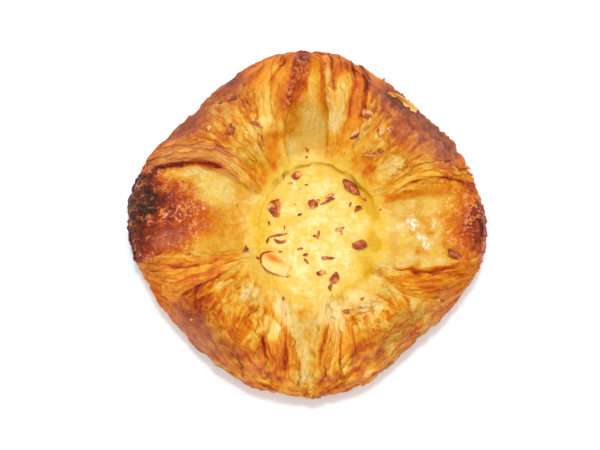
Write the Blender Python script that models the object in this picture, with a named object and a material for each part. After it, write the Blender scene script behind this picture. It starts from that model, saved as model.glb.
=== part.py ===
"""A baked Danish crown: one square of laminated dough, folded in from its four sides over a pool of custard.

The four folded flaps puff up into four lobes. Between each two lobes an opening runs from the custard out to
a corner of the square, and the cut edges of the two flaps line it as steep, ledged banks.
+Z is up, +X and +Y point at two of the corners, and the origin is the middle of the flat base. Every size
below is in millimetres, and the meshes are scaled to Blender's metres once, where they are made.
"""

import math
from collections import namedtuple

import bmesh
import bpy
import numpy as np

MM = 0.001

# The custard and the well that it fills
WELL_CENTRE = (2.8, -4.4)
WELL_RADIUS = 19.0
WELL_STRETCH = 0.05  # how much longer the pool is along Y and shorter along X, as a share of its radius
WELL_WOBBLE = 0.035  # how far its edge wanders besides
WELL_DEPTH = 6.0
CUSTARD_LEVEL = 17.0
CUSTARD_DOME = 1.2  # how much the custard's middle stands above its edge
GAP = 0.3  # clearance between the custard and the dough

# The dough in section
WAIST_HEIGHT = 10.5  # where the dough is widest
EDGE_ROUNDING = 7  # exponent of the superellipse that turns the top over into the side
FOOT_INSET = 6.5  # how far the flat base stands in from the widest line
RISE_SPAN = 0.85  # the lobes reach their crest this many well radii outside the custard
FLOOR_SPAN = 1.6  # and the openings' floors run on for this many
SHOULDER_DROP = 5.0  # how far a lobe falls from its crest to its outer shoulder
CREST_SHARE = 0.8  # how much of a lobe's rise its cut edge reaches; the rest is the lobe's pillow

# The banks widen over these shares of the reach. They stay apart by these sines of the angles at the origin.
BANK_START, BANK_END = 0.33, 1.0
FOOT_LIMIT, CREST_LIMIT = 0.62, 0.69
LEDGES = 3  # ledges in each bank
LEDGE_SHARPNESS = 0.8  # 0 leaves a smooth bank, and 1 cuts level ledges into it

# Opening: its direction in degrees, how far anticlockwise of it the square's corner has strayed, the corner's
# reach from the origin, the floor's heights half way out and at the corner, and the bank on each side as one
# looks outwards
Opening = namedtuple("Opening", "direction stray reach floor_middle floor_outer left right")
# Bank: the distance of its foot from the opening's centre line, and its width from foot to crest, each at the
# custard, half way out and at the corner
Bank = namedtuple("Bank", "foot width")
# Lobe: the direction and reach of its folded edge, and the height of its crest
Lobe = namedtuple("Lobe", "direction reach crest")

OPENINGS = (
    Opening(
        0, -4.0, 55.0, 17.5, 19.0,
        left=Bank((3.5, 5.5, 7.5), (3.0, 8.5, 9.5)), right=Bank((12.0, 17.5, 11.0), (2.5, 12.0, 8.0)),
    ),
    Opening(
        90, 3.0, 55.0, 20.5, 25.0,
        left=Bank((5.5, 4.0, 2.0), (4.0, 13.5, 11.0)), right=Bank((5.0, 4.0, 3.0), (4.0, 14.5, 13.5)),
    ),
    Opening(
        180, -6.0, 55.5, 17.5, 19.5,
        left=Bank((10.0, 12.5, 12.5), (2.5, 11.0, 13.0)), right=Bank((7.0, 14.5, 13.5), (3.0, 7.5, 8.5)),
    ),
    Opening(
        270, 0.0, 54.0, 20.0, 23.0,
        left=Bank((6.0, 3.5, 1.5), (4.0, 9.5, 12.0)), right=Bank((6.0, 3.5, 1.5), (4.0, 9.0, 11.0)),
    ),
)
LOBES = (
    Lobe(45, 49.5, 33.0),
    Lobe(135, 49.5, 32.5),
    Lobe(225, 51.0, 31.5),
    Lobe(315, 49.5, 32.0),
)

# Mesh density. Between an opening's centre line and a lobe's there are so many columns of faces.
FLOOR_COLUMNS, BANK_COLUMNS, LOBE_COLUMNS = 2, 9, 4
SECTOR_COLUMNS = FLOOR_COLUMNS + BANK_COLUMNS + LOBE_COLUMNS
COLUMNS = 8 * SECTOR_COLUMNS
WELL_RINGS, TOP_RINGS, EDGE_RINGS, SIDE_RINGS, BASE_RINGS = 3, 12, 8, 5, 1
TOP_FROM, TOP_TO = 0.3, 0.8  # the shares of the reach between which the top rings lie
CUSTARD_COLUMNS, CUSTARD_RINGS = 40, 12
CUSTARD_SHARE = 0.95  # the custard ends at this share of the well's radius, where its lens still has an edge

CRUST_BROWN = (0.55, 0.23, 0.06, 1.0)
CUSTARD_YELLOW = (0.90, 0.68, 0.19, 1.0)


def smooth(low, high, value):
    """0 up to low, 1 from high on, and a soft step between them."""
    share = np.clip((value - low) / (high - low), 0.0, 1.0)
    return share * share * (3.0 - 2.0 * share)


def through(values, share):
    """The parabola through three values, at shares 0, 0.5 and 1."""
    start, middle, end = values
    return start + (4 * middle - 3 * start - end) * share + (2 * start + 2 * end - 4 * middle) * share**2


def held_below(limit, value):
    """The value, bent without a corner to stay below a limit."""
    return value / (1 + (value / limit) ** 8) ** (1 / 8)

def around(directions, values, angle):
    """A value that turns smoothly from one of four directions, a quarter turn apart, to the next."""
    total = 0.0
    for direction, value in zip(directions, values):
        facing = np.cos(angle - math.radians(direction))
        total = total + value * np.where(facing > 0.0, facing**2, 0.0)
    return total


def of_openings(field, angle):
    return around([o.direction for o in OPENINGS], [getattr(o, field) for o in OPENINGS], angle)


def of_lobes(field, angle):
    return around([lobe.direction for lobe in LOBES], [getattr(lobe, field) for lobe in LOBES], angle)


def reach(angle):
    """The dough's largest radius in a direction: long at the corners, short at the folded edges."""
    edge = of_lobes("reach", angle)
    cornered = 0.5 + 0.5 * np.cos(4 * (angle - np.radians(of_openings("stray", angle))))
    return edge + (of_openings("reach", angle) - edge) * cornered


def well_radius(angle):
    """The pool's radius in a direction from its own centre."""
    wander = (np.cos(3 * angle + 0.6) + 0.6 * np.sin(5 * angle)) / 1.6
    return WELL_RADIUS * (1 - WELL_STRETCH * np.cos(2 * angle) + WELL_WOBBLE * wander)


def well_share(x, y):
    """The distance from the pool's centre: 0 there, and 1 at the pool's edge."""
    east, north = x - WELL_CENTRE[0], y - WELL_CENTRE[1]
    return np.hypot(east, north) / well_radius(np.arctan2(north, east))


def well_floor(share):
    """The height of the dough under the custard."""
    return CUSTARD_LEVEL - WELL_DEPTH * (1 - share**2)


def banks_around():
    """The eight banks in the order of their sectors, from +X anticlockwise."""
    banks = []
    for before, after in zip(OPENINGS, OPENINGS[1:] + OPENINGS[:1]):
        banks += [before.left, after.right]
    return banks


def lanes(column, out):
    """Where a column of points lies at each share of the reach. Columns follow the banks, not straight spokes.
    It gives the column's direction, and its progress over the bank and over the lobe, each from 0 to 1."""
    sector, step = column // SECTOR_COLUMNS, column % SECTOR_COLUMNS
    leftwards = sector % 2 == 0
    step = np.where(leftwards, step, SECTOR_COLUMNS - step)
    over_floor = np.clip(step / FLOOR_COLUMNS, 0.0, 1.0)
    over_bank = np.clip((step - FLOOR_COLUMNS) / BANK_COLUMNS, 0.0, 1.0)
    over_lobe = np.clip((step - FLOOR_COLUMNS - BANK_COLUMNS) / LOBE_COLUMNS, 0.0, 1.0)

    banks = banks_around()
    widening = np.clip((out - BANK_START) / (BANK_END - BANK_START), 0.0, 1.0)
    foot = through(np.array([bank.foot for bank in banks])[sector].T, widening)
    width = through(np.array([bank.width for bank in banks])[sector].T, widening)
    distance = np.maximum(out, TOP_FROM / 2) * np.array([o.reach for o in OPENINGS]).mean()
    foot_angle = np.arcsin(held_below(FOOT_LIMIT, foot / distance))
    crest_angle = np.arcsin(held_below(CREST_LIMIT, (foot + width) / distance))
    turned = foot_angle * over_floor + (crest_angle - foot_angle) * over_bank
    turned = turned + (math.pi / 4 - crest_angle) * over_lobe

    opening_angle = (sector + 1) // 2 * (math.pi / 2)
    return opening_angle + np.where(leftwards, turned, -turned), over_bank, over_lobe


def bank_rise(over_bank, over_lobe):
    """0 on an opening's floor, up ledge by ledge to the crest, and on over the lobe's pillow to 1."""
    turns = 2 * math.pi * LEDGES
    ledged = over_bank - LEDGE_SHARPNESS * np.sin(turns * over_bank) / turns
    return CREST_SHARE * np.sin(0.5 * math.pi * ledged) + (1 - CREST_SHARE) * (1 - (1 - over_lobe) ** 2.5)


def top_height(angle, radius, rise):
    """The height of the upper surface, before its outer edge turns over."""
    share = well_share(radius * np.cos(angle), radius * np.sin(angle))

    climb = np.clip((share - 1) / RISE_SPAN, 0.0, 1.0)
    climb = 0.45 * smooth(0.0, 1.0, climb) + 0.55 * (1 - (1 - climb) ** 1.5)
    lobe = CUSTARD_LEVEL + (of_lobes("crest", angle) - CUSTARD_LEVEL) * climb
    lobe = lobe - SHOULDER_DROP * smooth(0.68, 1.05, radius / reach(angle))

    out = np.clip((share - 1) / FLOOR_SPAN, 0.0, 1.0)
    middle, outer = of_openings("floor_middle", angle), of_openings("floor_outer", angle)
    floor = through((CUSTARD_LEVEL, middle, outer), out)
    return np.where(share < 1.0, well_floor(share), floor + (lobe - floor) * rise)


def ring_sections():
    """For each ring of the dough from the top pole down: its share of the reach, how much of the height above
    the waist it keeps, and how far round the lower edge it is, from 0 at the waist to 1 on the base."""
    well = np.linspace(0.0, TOP_FROM, WELL_RINGS + 1)
    top = np.linspace(TOP_FROM, TOP_TO, TOP_RINGS + 1)[1:]
    turn_from = math.asin(TOP_TO ** (EDGE_ROUNDING / 2))
    edge = np.sin(np.linspace(turn_from, math.pi / 2, EDGE_RINGS + 1)[1:]) ** (2 / EDGE_ROUNDING)
    share = np.concatenate([well, top, edge])
    kept = np.sqrt(np.clip(1 - share**EDGE_ROUNDING, 0.0, 1.0))
    sections = [(s, k, 0.0) for s, k in zip(share, kept)]
    sections += [(1.0, 0.0, down) for down in np.linspace(0.0, 1.0, SIDE_RINGS + 1)[1:]]
    sections += [(inner, 0.0, 1.0) for inner in np.linspace(1.0, 0.0, BASE_RINGS + 2)[1:]]
    return np.array(sections)


def dough_points(column, ring):
    """The points of the dough's surface, in millimetres, for the numbers of their columns and rings."""
    share, kept, down = ring_sections()[ring].T
    angle, over_bank, over_lobe = lanes(column, np.where(down > 0.0, 1.0, share))
    lower = 0.5 * math.pi * down
    radius = (reach(angle) - FOOT_INSET * (1 - np.cos(lower))) * share
    top = top_height(angle, radius, bank_rise(over_bank, over_lobe))
    height = np.where(
        down > 0.0,
        WAIST_HEIGHT * (1 - np.sin(lower)),
        WAIST_HEIGHT + (top - WAIST_HEIGHT) * kept,
    )
    return np.stack([radius * np.cos(angle), radius * np.sin(angle), height], axis=1)


def custard_points(angle, ring):
    """The points of the custard's lens, whose upper half is its surface and lower half lies in the well."""
    half = CUSTARD_RINGS // 2
    share = CUSTARD_SHARE * (1 - np.abs(ring - half) / half)
    radius = share * well_radius(angle)
    surface = CUSTARD_LEVEL + CUSTARD_DOME * (1 - share**2)
    height = np.where(ring <= half, surface, well_floor(share) + GAP)
    return np.stack(
        [WELL_CENTRE[0] + radius * np.cos(angle), WELL_CENTRE[1] + radius * np.sin(angle), height], axis=1
    )


def sphere(name, columns, rings):
    """A unit sphere, with the column and ring number of each of its points."""
    mesh = bpy.data.meshes.new(name)
    form = bmesh.new()
    bmesh.ops.create_uvsphere(form, u_segments=columns, v_segments=rings, radius=1.0)
    form.to_mesh(mesh)
    form.free()
    points = np.empty(len(mesh.vertices) * 3)
    mesh.vertices.foreach_get("co", points)
    x, y, z = points.reshape(-1, 3).T
    column = np.rint(np.arctan2(y, x) / (2 * math.pi) * columns).astype(int) % columns
    ring = np.rint(np.arccos(np.clip(z, -1.0, 1.0)) / math.pi * rings).astype(int)
    return mesh, column, ring


def middle_of_base():
    """The middle of the dough's outline, in millimetres, which is taken as the origin."""
    waist = dough_points(np.arange(COLUMNS), np.full(COLUMNS, WELL_RINGS + TOP_RINGS + EDGE_RINGS))
    middle = (waist.max(axis=0) + waist.min(axis=0)) / 2
    return np.array([middle[0], middle[1], 0.0])


def surface(name, colour, roughness):
    material = bpy.data.materials.new(name)
    material.use_nodes = True
    shader = material.node_tree.nodes["Principled BSDF"]
    shader.inputs["Base Color"].default_value = colour
    shader.inputs["Roughness"].default_value = roughness
    shader.inputs["Metallic"].default_value = 0.0
    return material


def place(mesh, points, material, collection):
    """Moves a mesh's points to their places and links it as an object."""
    mesh.vertices.foreach_set("co", ((points - middle_of_base()) * MM).ravel())
    mesh.materials.append(material)
    mesh.update()
    mesh.shade_smooth()
    mesh.set_sharp_from_angle(angle=math.radians(50))
    collection.objects.link(bpy.data.objects.new(mesh.name, mesh))


def make_pastry(collection):
    mesh, column, ring = sphere("pastry", COLUMNS, len(ring_sections()) - 1)
    place(mesh, dough_points(column, ring), surface("baked_dough", CRUST_BROWN, 0.45), collection)


def make_custard(collection):
    mesh, column, ring = sphere("custard", CUSTARD_COLUMNS, CUSTARD_RINGS)
    angle = column * (2 * math.pi / CUSTARD_COLUMNS)
    place(mesh, custard_points(angle, ring), surface("custard", CUSTARD_YELLOW, 0.35), collection)


def main():
    for leftover in list(bpy.data.objects):
        bpy.data.objects.remove(leftover, do_unlink=True)
    collection = bpy.data.collections.new("danish_pastry")
    bpy.context.scene.collection.children.link(collection)
    make_pastry(collection)
    make_custard(collection)


main()
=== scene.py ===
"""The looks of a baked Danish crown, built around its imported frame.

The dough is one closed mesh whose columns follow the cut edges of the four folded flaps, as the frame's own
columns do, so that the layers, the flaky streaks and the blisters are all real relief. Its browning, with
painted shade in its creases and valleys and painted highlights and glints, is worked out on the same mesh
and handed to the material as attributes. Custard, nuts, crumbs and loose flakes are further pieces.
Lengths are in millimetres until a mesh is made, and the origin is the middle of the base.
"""

import itertools
import math
from collections import namedtuple
from types import SimpleNamespace

import bmesh
import bpy
import numpy as np
from mathutils import Matrix, Vector
from mathutils.bvhtree import BVHTree


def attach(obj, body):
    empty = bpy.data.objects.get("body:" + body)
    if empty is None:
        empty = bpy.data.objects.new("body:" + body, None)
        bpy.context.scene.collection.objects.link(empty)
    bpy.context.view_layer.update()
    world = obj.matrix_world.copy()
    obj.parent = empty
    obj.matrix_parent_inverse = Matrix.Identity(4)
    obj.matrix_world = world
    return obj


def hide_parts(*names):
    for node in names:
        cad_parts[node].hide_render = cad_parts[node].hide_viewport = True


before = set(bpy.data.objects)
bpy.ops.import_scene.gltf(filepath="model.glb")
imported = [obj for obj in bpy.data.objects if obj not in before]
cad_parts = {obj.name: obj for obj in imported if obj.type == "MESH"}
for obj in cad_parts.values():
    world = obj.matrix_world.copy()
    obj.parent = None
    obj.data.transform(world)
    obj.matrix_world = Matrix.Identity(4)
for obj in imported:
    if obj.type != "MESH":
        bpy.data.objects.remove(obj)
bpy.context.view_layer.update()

MM = 0.001

# --- The dough's form, with the frame's driving sizes ---

WELL_CENTRE = (2.8, -4.4)
WELL_RADIUS = 19
WELL_STRETCH = 0.05
WELL_WOBBLE = 0.035
WELL_DEPTH = 6
CUSTARD_LEVEL = 17
CUSTARD_DOME = 1.2

WAIST_HEIGHT = 10.5
EDGE_ROUNDING = 7
FOOT_INSET = 6.5
RISE_SPAN = 0.85
FLOOR_SPAN = 1.6
SHOULDER_DROP = 5
CREST_SHARE = 0.8

BANK_START, BANK_END = 0.33, 1
FOOT_LIMIT, CREST_LIMIT = 0.62, 0.69

Opening = namedtuple("Opening", "direction stray reach floor_middle floor_outer left right")
Bank = namedtuple("Bank", "foot width")
Lobe = namedtuple("Lobe", "direction reach crest")

OPENINGS = (
    Opening(
        0, -4, 55, 17.5, 19,
        left=Bank((3.5, 5.5, 7.5), (3, 8.5, 9.5)), right=Bank((12, 17.5, 11), (2.5, 12, 8)),
    ),
    Opening(
        90, 3, 55, 20.5, 25,
        left=Bank((5.5, 4, 2), (4, 13.5, 11)), right=Bank((5, 4, 3), (4, 14.5, 13.5)),
    ),
    Opening(
        180, -6, 55.5, 17.5, 19.5,
        left=Bank((10, 12.5, 12.5), (2.5, 11, 13)), right=Bank((7, 14.5, 13.5), (3, 7.5, 8.5)),
    ),
    Opening(
        270, 0, 54, 20, 23,
        left=Bank((6, 3.5, 1.5), (4, 9.5, 12)), right=Bank((6, 3.5, 1.5), (4, 9, 11)),
    ),
)
EAST, NORTH, WEST, SOUTH = range(4)
LOBES = (
    Lobe(45, 49.5, 33),
    Lobe(135, 49.5, 32.5),
    Lobe(225, 51, 31.5),
    Lobe(315, 49.5, 32),
)

# Mesh density: the columns of faces over the floor, the bank and the half lobe of a sector
WIDE_SECTOR = (34, 38, 28)  # beside a wide opening
NARROW_SECTOR = (10, 58, 32)
SECTOR_COLUMNS = sum(WIDE_SECTOR)
COLUMNS = 8 * SECTOR_COLUMNS
WELL_RINGS, TOP_RINGS, EDGE_RINGS, SIDE_RINGS, BASE_RINGS = 3, 58, 38, 17, 1
TOP_FROM, TOP_TO = 0.3, 0.8


def places(x, y, z):
    """Points from their three coordinates."""
    return np.stack([x, y, z], axis=-1)


def unit(value):
    """The value, held between 0 and 1."""
    return np.clip(value, 0, 1)


def smooth(low, high, value):
    """0 up to low, 1 from high on, and a soft step between them."""
    share = unit((value - low) / (high - low))
    return share * share * (3 - 2 * share)


def fall(low, high, value):
    """1 up to low, 0 from high on, and a soft step between them."""
    return 1 - smooth(low, high, value)


def hill(distance, width):
    """1 at no distance, and a soft fall to 0 on both sides."""
    return np.exp(-((distance / width) ** 2))


def through(values, share):
    """The parabola through three values, at shares 0, 0.5 and 1."""
    start, middle, end = values
    return start + (4 * middle - 3 * start - end) * share + (2 * start + 2 * end - 4 * middle) * share**2


def held_below(limit, value):
    """The value, bent without a corner to stay below a limit."""
    return value / (1 + (value / limit) ** 8) ** (1 / 8)


def around(directions, values, angle):
    """A value that turns smoothly from one of four directions, a quarter turn apart, to the next."""
    total = 0
    for direction, value in zip(directions, values):
        facing = np.cos(angle - math.radians(direction))
        total = total + value * np.where(facing > 0, facing**2, 0)
    return total


def of_openings(field, angle):
    """A field of the openings, in any direction."""
    return around([o.direction for o in OPENINGS], [getattr(o, field) for o in OPENINGS], angle)


def of_lobes(field, angle):
    """A field of the lobes, in any direction."""
    return around([lobe.direction for lobe in LOBES], [getattr(lobe, field) for lobe in LOBES], angle)


def reach(angle):
    """The dough's largest radius in a direction: long at the corners, short at the folded edges."""
    edge = of_lobes("reach", angle)
    cornered = 0.5 + 0.5 * np.cos(4 * (angle - np.radians(of_openings("stray", angle))))
    return edge + (of_openings("reach", angle) - edge) * cornered


def well_radius(angle):
    """The pool's radius in a direction from its own centre."""
    wander = (np.cos(3 * angle + 0.6) + 0.6 * np.sin(5 * angle)) / 1.6
    return WELL_RADIUS * (1 - WELL_STRETCH * np.cos(2 * angle) + WELL_WOBBLE * wander)


def well_share(x, y):
    """The distance from the pool's centre: 0 there, and 1 at the pool's edge."""
    east, north = x - WELL_CENTRE[0], y - WELL_CENTRE[1]
    return np.hypot(east, north) / well_radius(np.arctan2(north, east))


def banks_around():
    """The eight banks in the order of their sectors, from +X anticlockwise."""
    banks = []
    for before, after in zip(OPENINGS, OPENINGS[1:] + OPENINGS[:1]):
        banks += [before.left, after.right]
    return banks


def middle_of_base():
    """The middle of the dough's outline, which the frame takes as its origin."""
    angle = np.radians(np.arange(0, 360, 0.5))
    radius = reach(angle)
    x, y = radius * np.cos(angle), radius * np.sin(angle)
    return np.array([(x.max() + x.min()) / 2, (y.max() + y.min()) / 2, 0])


# --- Noise ---

TABLE_SIZE = 1024
table_draws = np.random.default_rng(7)
GRADIENTS = table_draws.normal(size=(TABLE_SIZE, 3))
GRADIENTS /= np.linalg.norm(GRADIENTS, axis=1, keepdims=True)
JITTERS = table_draws.random((TABLE_SIZE, 3))
SHARES = table_draws.random(TABLE_SIZE)


def hashed(cell, seed):
    """A row of the tables for each cell of a lattice of whole numbers."""
    cell = cell.astype(np.int64)
    mixed = cell[..., 0] * 73856093 ^ cell[..., 1] * 19349663 ^ cell[..., 2] * 83492791
    mixed = mixed ^ (seed + 1) * 668265263
    mixed = (mixed ^ (mixed >> 15)) * 374761393 & 0xFFFFFFFF
    return (mixed ^ (mixed >> 13)) % TABLE_SIZE


def noise(points, seed):
    """Gradient noise of about -1 to 1, with features one unit apart."""
    cell = np.floor(points)
    part = points - cell
    ease = part**3 * (part * (part * 6 - 15) + 10)
    total = 0
    for corner in itertools.product((0, 1), repeat=3):
        corner = np.array(corner)
        weight = np.where(corner == 1, ease, 1 - ease).prod(axis=-1)
        total = total + weight * ((part - corner) * GRADIENTS[hashed(cell + corner, seed)]).sum(axis=-1)
    return 1.7 * total


def noises(points, *waves):
    """A sum of noises, each told by its height, its size and its seed."""
    return sum(height * noise(points / size, seed) for height, size, seed in waves)


def on_plan(x, y):
    """Places at height 0, for noise that is the same at every height."""
    return places(x, y, np.zeros_like(x))


def scatter(points, seed):
    """A scatter of points, one a unit cell of the lattice: how far the nearest of them is from each place,
    how much farther the second nearest is, a random share of the nearest, and the way from it."""
    cell = np.floor(points)
    first = np.full(points.shape[:-1], 9.0)
    second = first.copy()
    share = np.zeros_like(first)
    offset = np.zeros_like(points)
    for step in itertools.product((-1, 0, 1), repeat=3):
        neighbour = cell + np.array(step)
        row = hashed(neighbour, seed)
        away = points - (neighbour + JITTERS[row])
        distance = np.linalg.norm(away, axis=-1)
        closer = distance < first
        second = np.where(closer, first, np.minimum(second, distance))
        first = np.where(closer, distance, first)
        share = np.where(closer, SHARES[row], share)
        offset = np.where(closer[..., None], away, offset)
    return first, second - first, share, offset


def domes(points, seed, radius, least):
    """Little domes on such a scatter, from the least height to 1."""
    distance, _, share, _ = scatter(points, seed)
    return unit(1 - (distance / radius) ** 2) * (least + (1 - least) * share)


# --- The dough's mesh ---

# How the layers show on each bank, in the order of their sectors: where they start and end between the foot
# at 0, the crest at 1 and the lobe's middle at 2; how many fine layers there are from foot to crest; the
# relief of the broad sheets and of the fine layers in them; how strongly the creases show, by their painted
# shade and by the layers' strands; and how far the bank has browned
Layering = namedtuple("Layering", "start limit layers sheet fine lines bake")
LAYERINGS = [Layering(*row) for row in (
    (0.52, 0.98, 7, 0.45, 0.14, 0.8, -0.04),
    (0.1, 1.2, 5, 0.6, 0.05, 0.45, -0.05),
    (0.1, 1.15, 5, 0.6, 0.05, 0.4, -0.06),
    (0.08, 1.05, 8, 0.55, 0.22, 0.66, -0.03),
    (0.03, 1.25, 7, 0.65, 0.18, 0.8, -0.02),
    (0.05, 1.15, 6, 0.8, 0.2, 0.7, -0.1),
    (0.05, 1.15, 6, 0.75, 0.2, 0.7, -0.1),
    (0.1, 1.55, 8.5, 0.5, 0.34, 1, -0.03),
)]

# Patch: a spot of the dough that stands out, with its half length and half width, the direction of its
# length in degrees, how much browner it is, how softly it ends, how far it is raised in millimetres, and
# its tint: a dull blush above 0, and below 0 milky white, partly painted glints
Patch = namedtuple("Patch", "x y length width turn bake soft rise blush", defaults=(0.6, 0, 0))
PATCHES = [Patch(*row) for row in (
    # the west basin: a cream ridge and a cream fold at its sides, and a dull smooth blister between them
    (-39.6, 12.9, 6.2, 1.7, 7, -0.22, 0.55, 0.8), (-31, 7.6, 6, 3, -12, -0.12),
    (-42, -7, 5.5, 2.8, 12, 0.02, 0.4, 0.5, 0.85), (-38, -13.2, 7.5, 1.6, 4, -0.12, 0.5, 0.6),
    (-20.6, 12.8, 4.2, 1, -52, -0.15, 0.3, 0.6),
    # the east basin's cream sides
    (38, 3.8, 7, 2, 4, -0.06, 0.7, 0.3), (43, 1, 2.4, 3.4, 0, 0.06, 0.7), (41, -8, 2.6, 1.8, 20, 0.06, 0.7),
    (36, -14.5, 9, 2.4, -6, -0.14, 0.5, 0.5), (32, -2, 2.2, 1.3, -60, -0.2, 0.5, 0.5, -1),
    (34.6, -6.6, 1.8, 1.1, -40, -0.2, 0.5, 0.45, -0.9), (36.3, -9.2, 1.5, 1, 20, -0.15, 0.5, 0.4, -0.8),
    (38.2, -2.6, 1.6, 0.8, 60, -0.15, 0.5, 0.35, -0.5), (27.5, -3, 1.5, 1, 30, -0.05, 0.5, 0.25, -0.35),
    # the north opening: pale leaves and lumps
    (-12.5, 26, 4.5, 2.2, 20, -0.2, 0.4, 0.8), (-12.3, 32.5, 2.6, 6, -8, -0.2, 0.5, 0.3),
    (9.6, 33, 2.4, 9, -10, -0.32, 0.5, 0.3),
    # darker and paler parts of the lobes, the south opening and the other floors
    (32, 26.5, 11, 6.5, -48, 0.15, 0.8, 0, 0.6), (40.5, 19, 6, 4.5, -60, 0.08, 0.8, 0, 0.6),
    (24, 36, 5, 4, -40, 0.08, 0.6, 0, 0.3), (-30, 31, 9, 6, 42, -0.09, 0.8, 0, 0.5),
    (-24, 39, 5, 3, 35, 0.12, 0.5, 0, 0.2), (-35, 26, 5, 4, 35, 0.04, 0.8, 0, 0.35),
    (19, -40.5, 6, 3, 35, 0.1, 0.5), (-31, -27, 5.5, 4, -30, 0.14, 0.5), (-19, -43, 5, 3, -40, 0.1, 0.5),
    (-33, -36, 10, 3.4, -44, 0.21, 0.6, 0, 1), (-7.8, -30.5, 2, 4.5, 8, -0.24, 0.5, 0.4, -0.12),
    (1.5, -29.5, 3.2, 3.4, 0, 0.08, 0.5, 1), (-11.5, -36.5, 2.2, 4.2, 18, -0.26, 0.5, 0.8),
    (9, -33, 2.4, 5, -12, -0.24, 0.5, 0.5, -0.12), (16, -27, 5.5, 4, -58, -0.22, 0.6, 0, -0.12),
    (23, -24.5, 5, 3, -50, -0.14), (-16.5, -26, 5.5, 4.5, 60, -0.1), (28, -34, 8, 4, 42, -0.23, 0.8),
    (38.5, -29.5, 6, 3, 50, -0.06, 0.6, 0, 0.5), (0, -50, 5, 3, 0, -0.2, 0.6, 0, 0.15),
    (6, -43.5, 2.4, 5, 0, -0.09), (-6.5, 21.5, 4, 3, 60, -0.15, 0.6, 0.3), (9.3, 24, 2.5, 4, -10, 0.06),
    (30.5, 15.5, 5, 3.5, -50, 0.08), (6, -29.5, 2.6, 4, -10, -0.2, 0.6, 0, -0.1),
    (-4.5, -34, 2.2, 3.6, 8, -0.14), (-13.5, -18, 2.6, 2.6, 0, -0.1), (17, 13, 4.5, 3, 40, 0.08),
    (-24, -28, 6, 4, 60, -0.04), (26.5, -17.5, 4.5, 2.2, -20, -0.27), (-17, -18.5, 3.5, 2.5, 30, 0.03),
)]

SHEET_LAYERS = 2.7  # fine layers in a broad sheet

# Seam: a line along a bank. Its sector, its place on the bank at its start, middle and end, where it starts
# and ends as shares of the reach, its half width on the bank, how far it is raised in millimetres, how much
# browner it is, which on a sunk seam is painted shade in its crease, how knobbly, and how far it strays
# on the bank
Seam = namedtuple("Seam", "sector places start end width rise bake knobs stray", defaults=(0.025,))
SEAMS = [Seam(*row) for row in (
    (2, (0.17, 0.08, 0), 0.55, 0.93, 0.085, 1.3, 0.06, 1.2),
    (2, (0.05, -0.03, -0.1), 0.66, 0.94, 0.03, -0.2, 0.1, 0.4),
    (1, (0.2, 0.19, 0.17), 0.6, 0.95, 0.07, 1.1, -0.3, 1.2),
    (1, (0.29, 0.28, 0.26), 0.64, 0.95, 0.03, -0.3, 0.14, 0.3),
    (3, (0.36, 0.21, 0.1), 0.54, 0.95, 0.12, -0.3, 0.42, 0.4),
    (4, (0.37, 0.5, 0.32), 0.52, 0.9, 0.045, -0.6, 0.3, 0.2),
    (4, (1.18, 1.12, 1.28), 0.52, 0.93, 0.08, -0.36, 0.26, 0.2),
    (0, (0.47, 0.64, 0.42), 0.44, 0.97, 0.05, 0.55, -0.09, 0.1),
    (0, (0.38, 0.53, 0.33), 0.56, 0.96, 0.035, -0.5, 0.3, 0.1),
    (7, (0.1, 0.27, 0.24), 0.56, 0.92, 0.085, -0.45, 0.36, 0.6, 0.12),
    (7, (1.4, 1.44, 1.06), 0.88, 1, 0.03, -0.45, 0.35, 0.2),
    (1, (0.53, 0.69, 0.74), 0.5, 0.96, 0.045, -0.35, 0.2, 0.1),
    (1, (0.88, 1.02, 1.1), 0.6, 0.97, 0.05, -0.35, 0.24, 0.2),
    (2, (0.62, 0.52, 0.4), 0.55, 0.96, 0.045, -0.3, 0.18, 0.2),
    (5, (0.45, 0.43, 0.6), 0.64, 0.94, 0.07, 0.9, 0.3, 1),
    (5, (0.36, 0.34, 0.5), 0.66, 0.94, 0.035, -0.4, 0.34, 0.5),
    (5, (0.95, 1.06, 0.86), 0.68, 0.9, 0.03, -0.5, 0.26, 0.3),
    (6, (0.16, 0.14, 0.12), 0.62, 0.86, 0.05, -0.35, 0.3, 0.4),
    (6, (0.7, 0.62, 0.8), 0.6, 0.95, 0.035, -0.45, 0.24, 0.3),
)]


def column_places():
    """For each column: its sector, and its progress over the floor, the bank and the half lobe."""
    sector = np.arange(COLUMNS) // SECTOR_COLUMNS
    step = np.arange(COLUMNS) % SECTOR_COLUMNS
    leftwards = sector % 2 == 0
    step = np.where(leftwards, step, SECTOR_COLUMNS - step)
    wide = np.isin(sector, (0, 3, 4, 7))
    floor, bank, lobe = [np.where(wide, w, n) for w, n in zip(WIDE_SECTOR, NARROW_SECTOR)]
    over_floor = unit(step / floor)
    over_bank = unit((step - floor) / bank)
    over_lobe = unit((step - floor - bank) / lobe)
    return sector, leftwards, over_floor, over_bank, over_lobe


def ring_sections():
    """For each ring, from the top pole down: its share of the reach, how much of the height above the waist
    it keeps, and how far round the lower edge it is, from 0 at the waist to 1 on the base."""
    well = np.linspace(0, TOP_FROM, WELL_RINGS + 1)
    step = np.linspace(0, 1, TOP_RINGS + 1)[1:]
    top = TOP_FROM + (TOP_TO - TOP_FROM) * (0.75 * step + 0.25 * step**2)
    turn_from = math.asin(TOP_TO ** (EDGE_ROUNDING / 2))
    edge = np.sin(np.linspace(turn_from, math.pi / 2, EDGE_RINGS + 1)[1:]) ** (2 / EDGE_ROUNDING)
    share = np.concatenate([well, top, edge])
    kept = np.sqrt(unit(1 - share**EDGE_ROUNDING))
    sections = [(s, k, 0) for s, k in zip(share, kept)]
    sections += [(1, 0, down) for down in np.linspace(0, 1, SIDE_RINGS + 1)[1:]]
    sections += [(inner, 0, 1) for inner in np.linspace(1, 0, BASE_RINGS + 2)[1:]]
    return np.array(sections)


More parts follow.
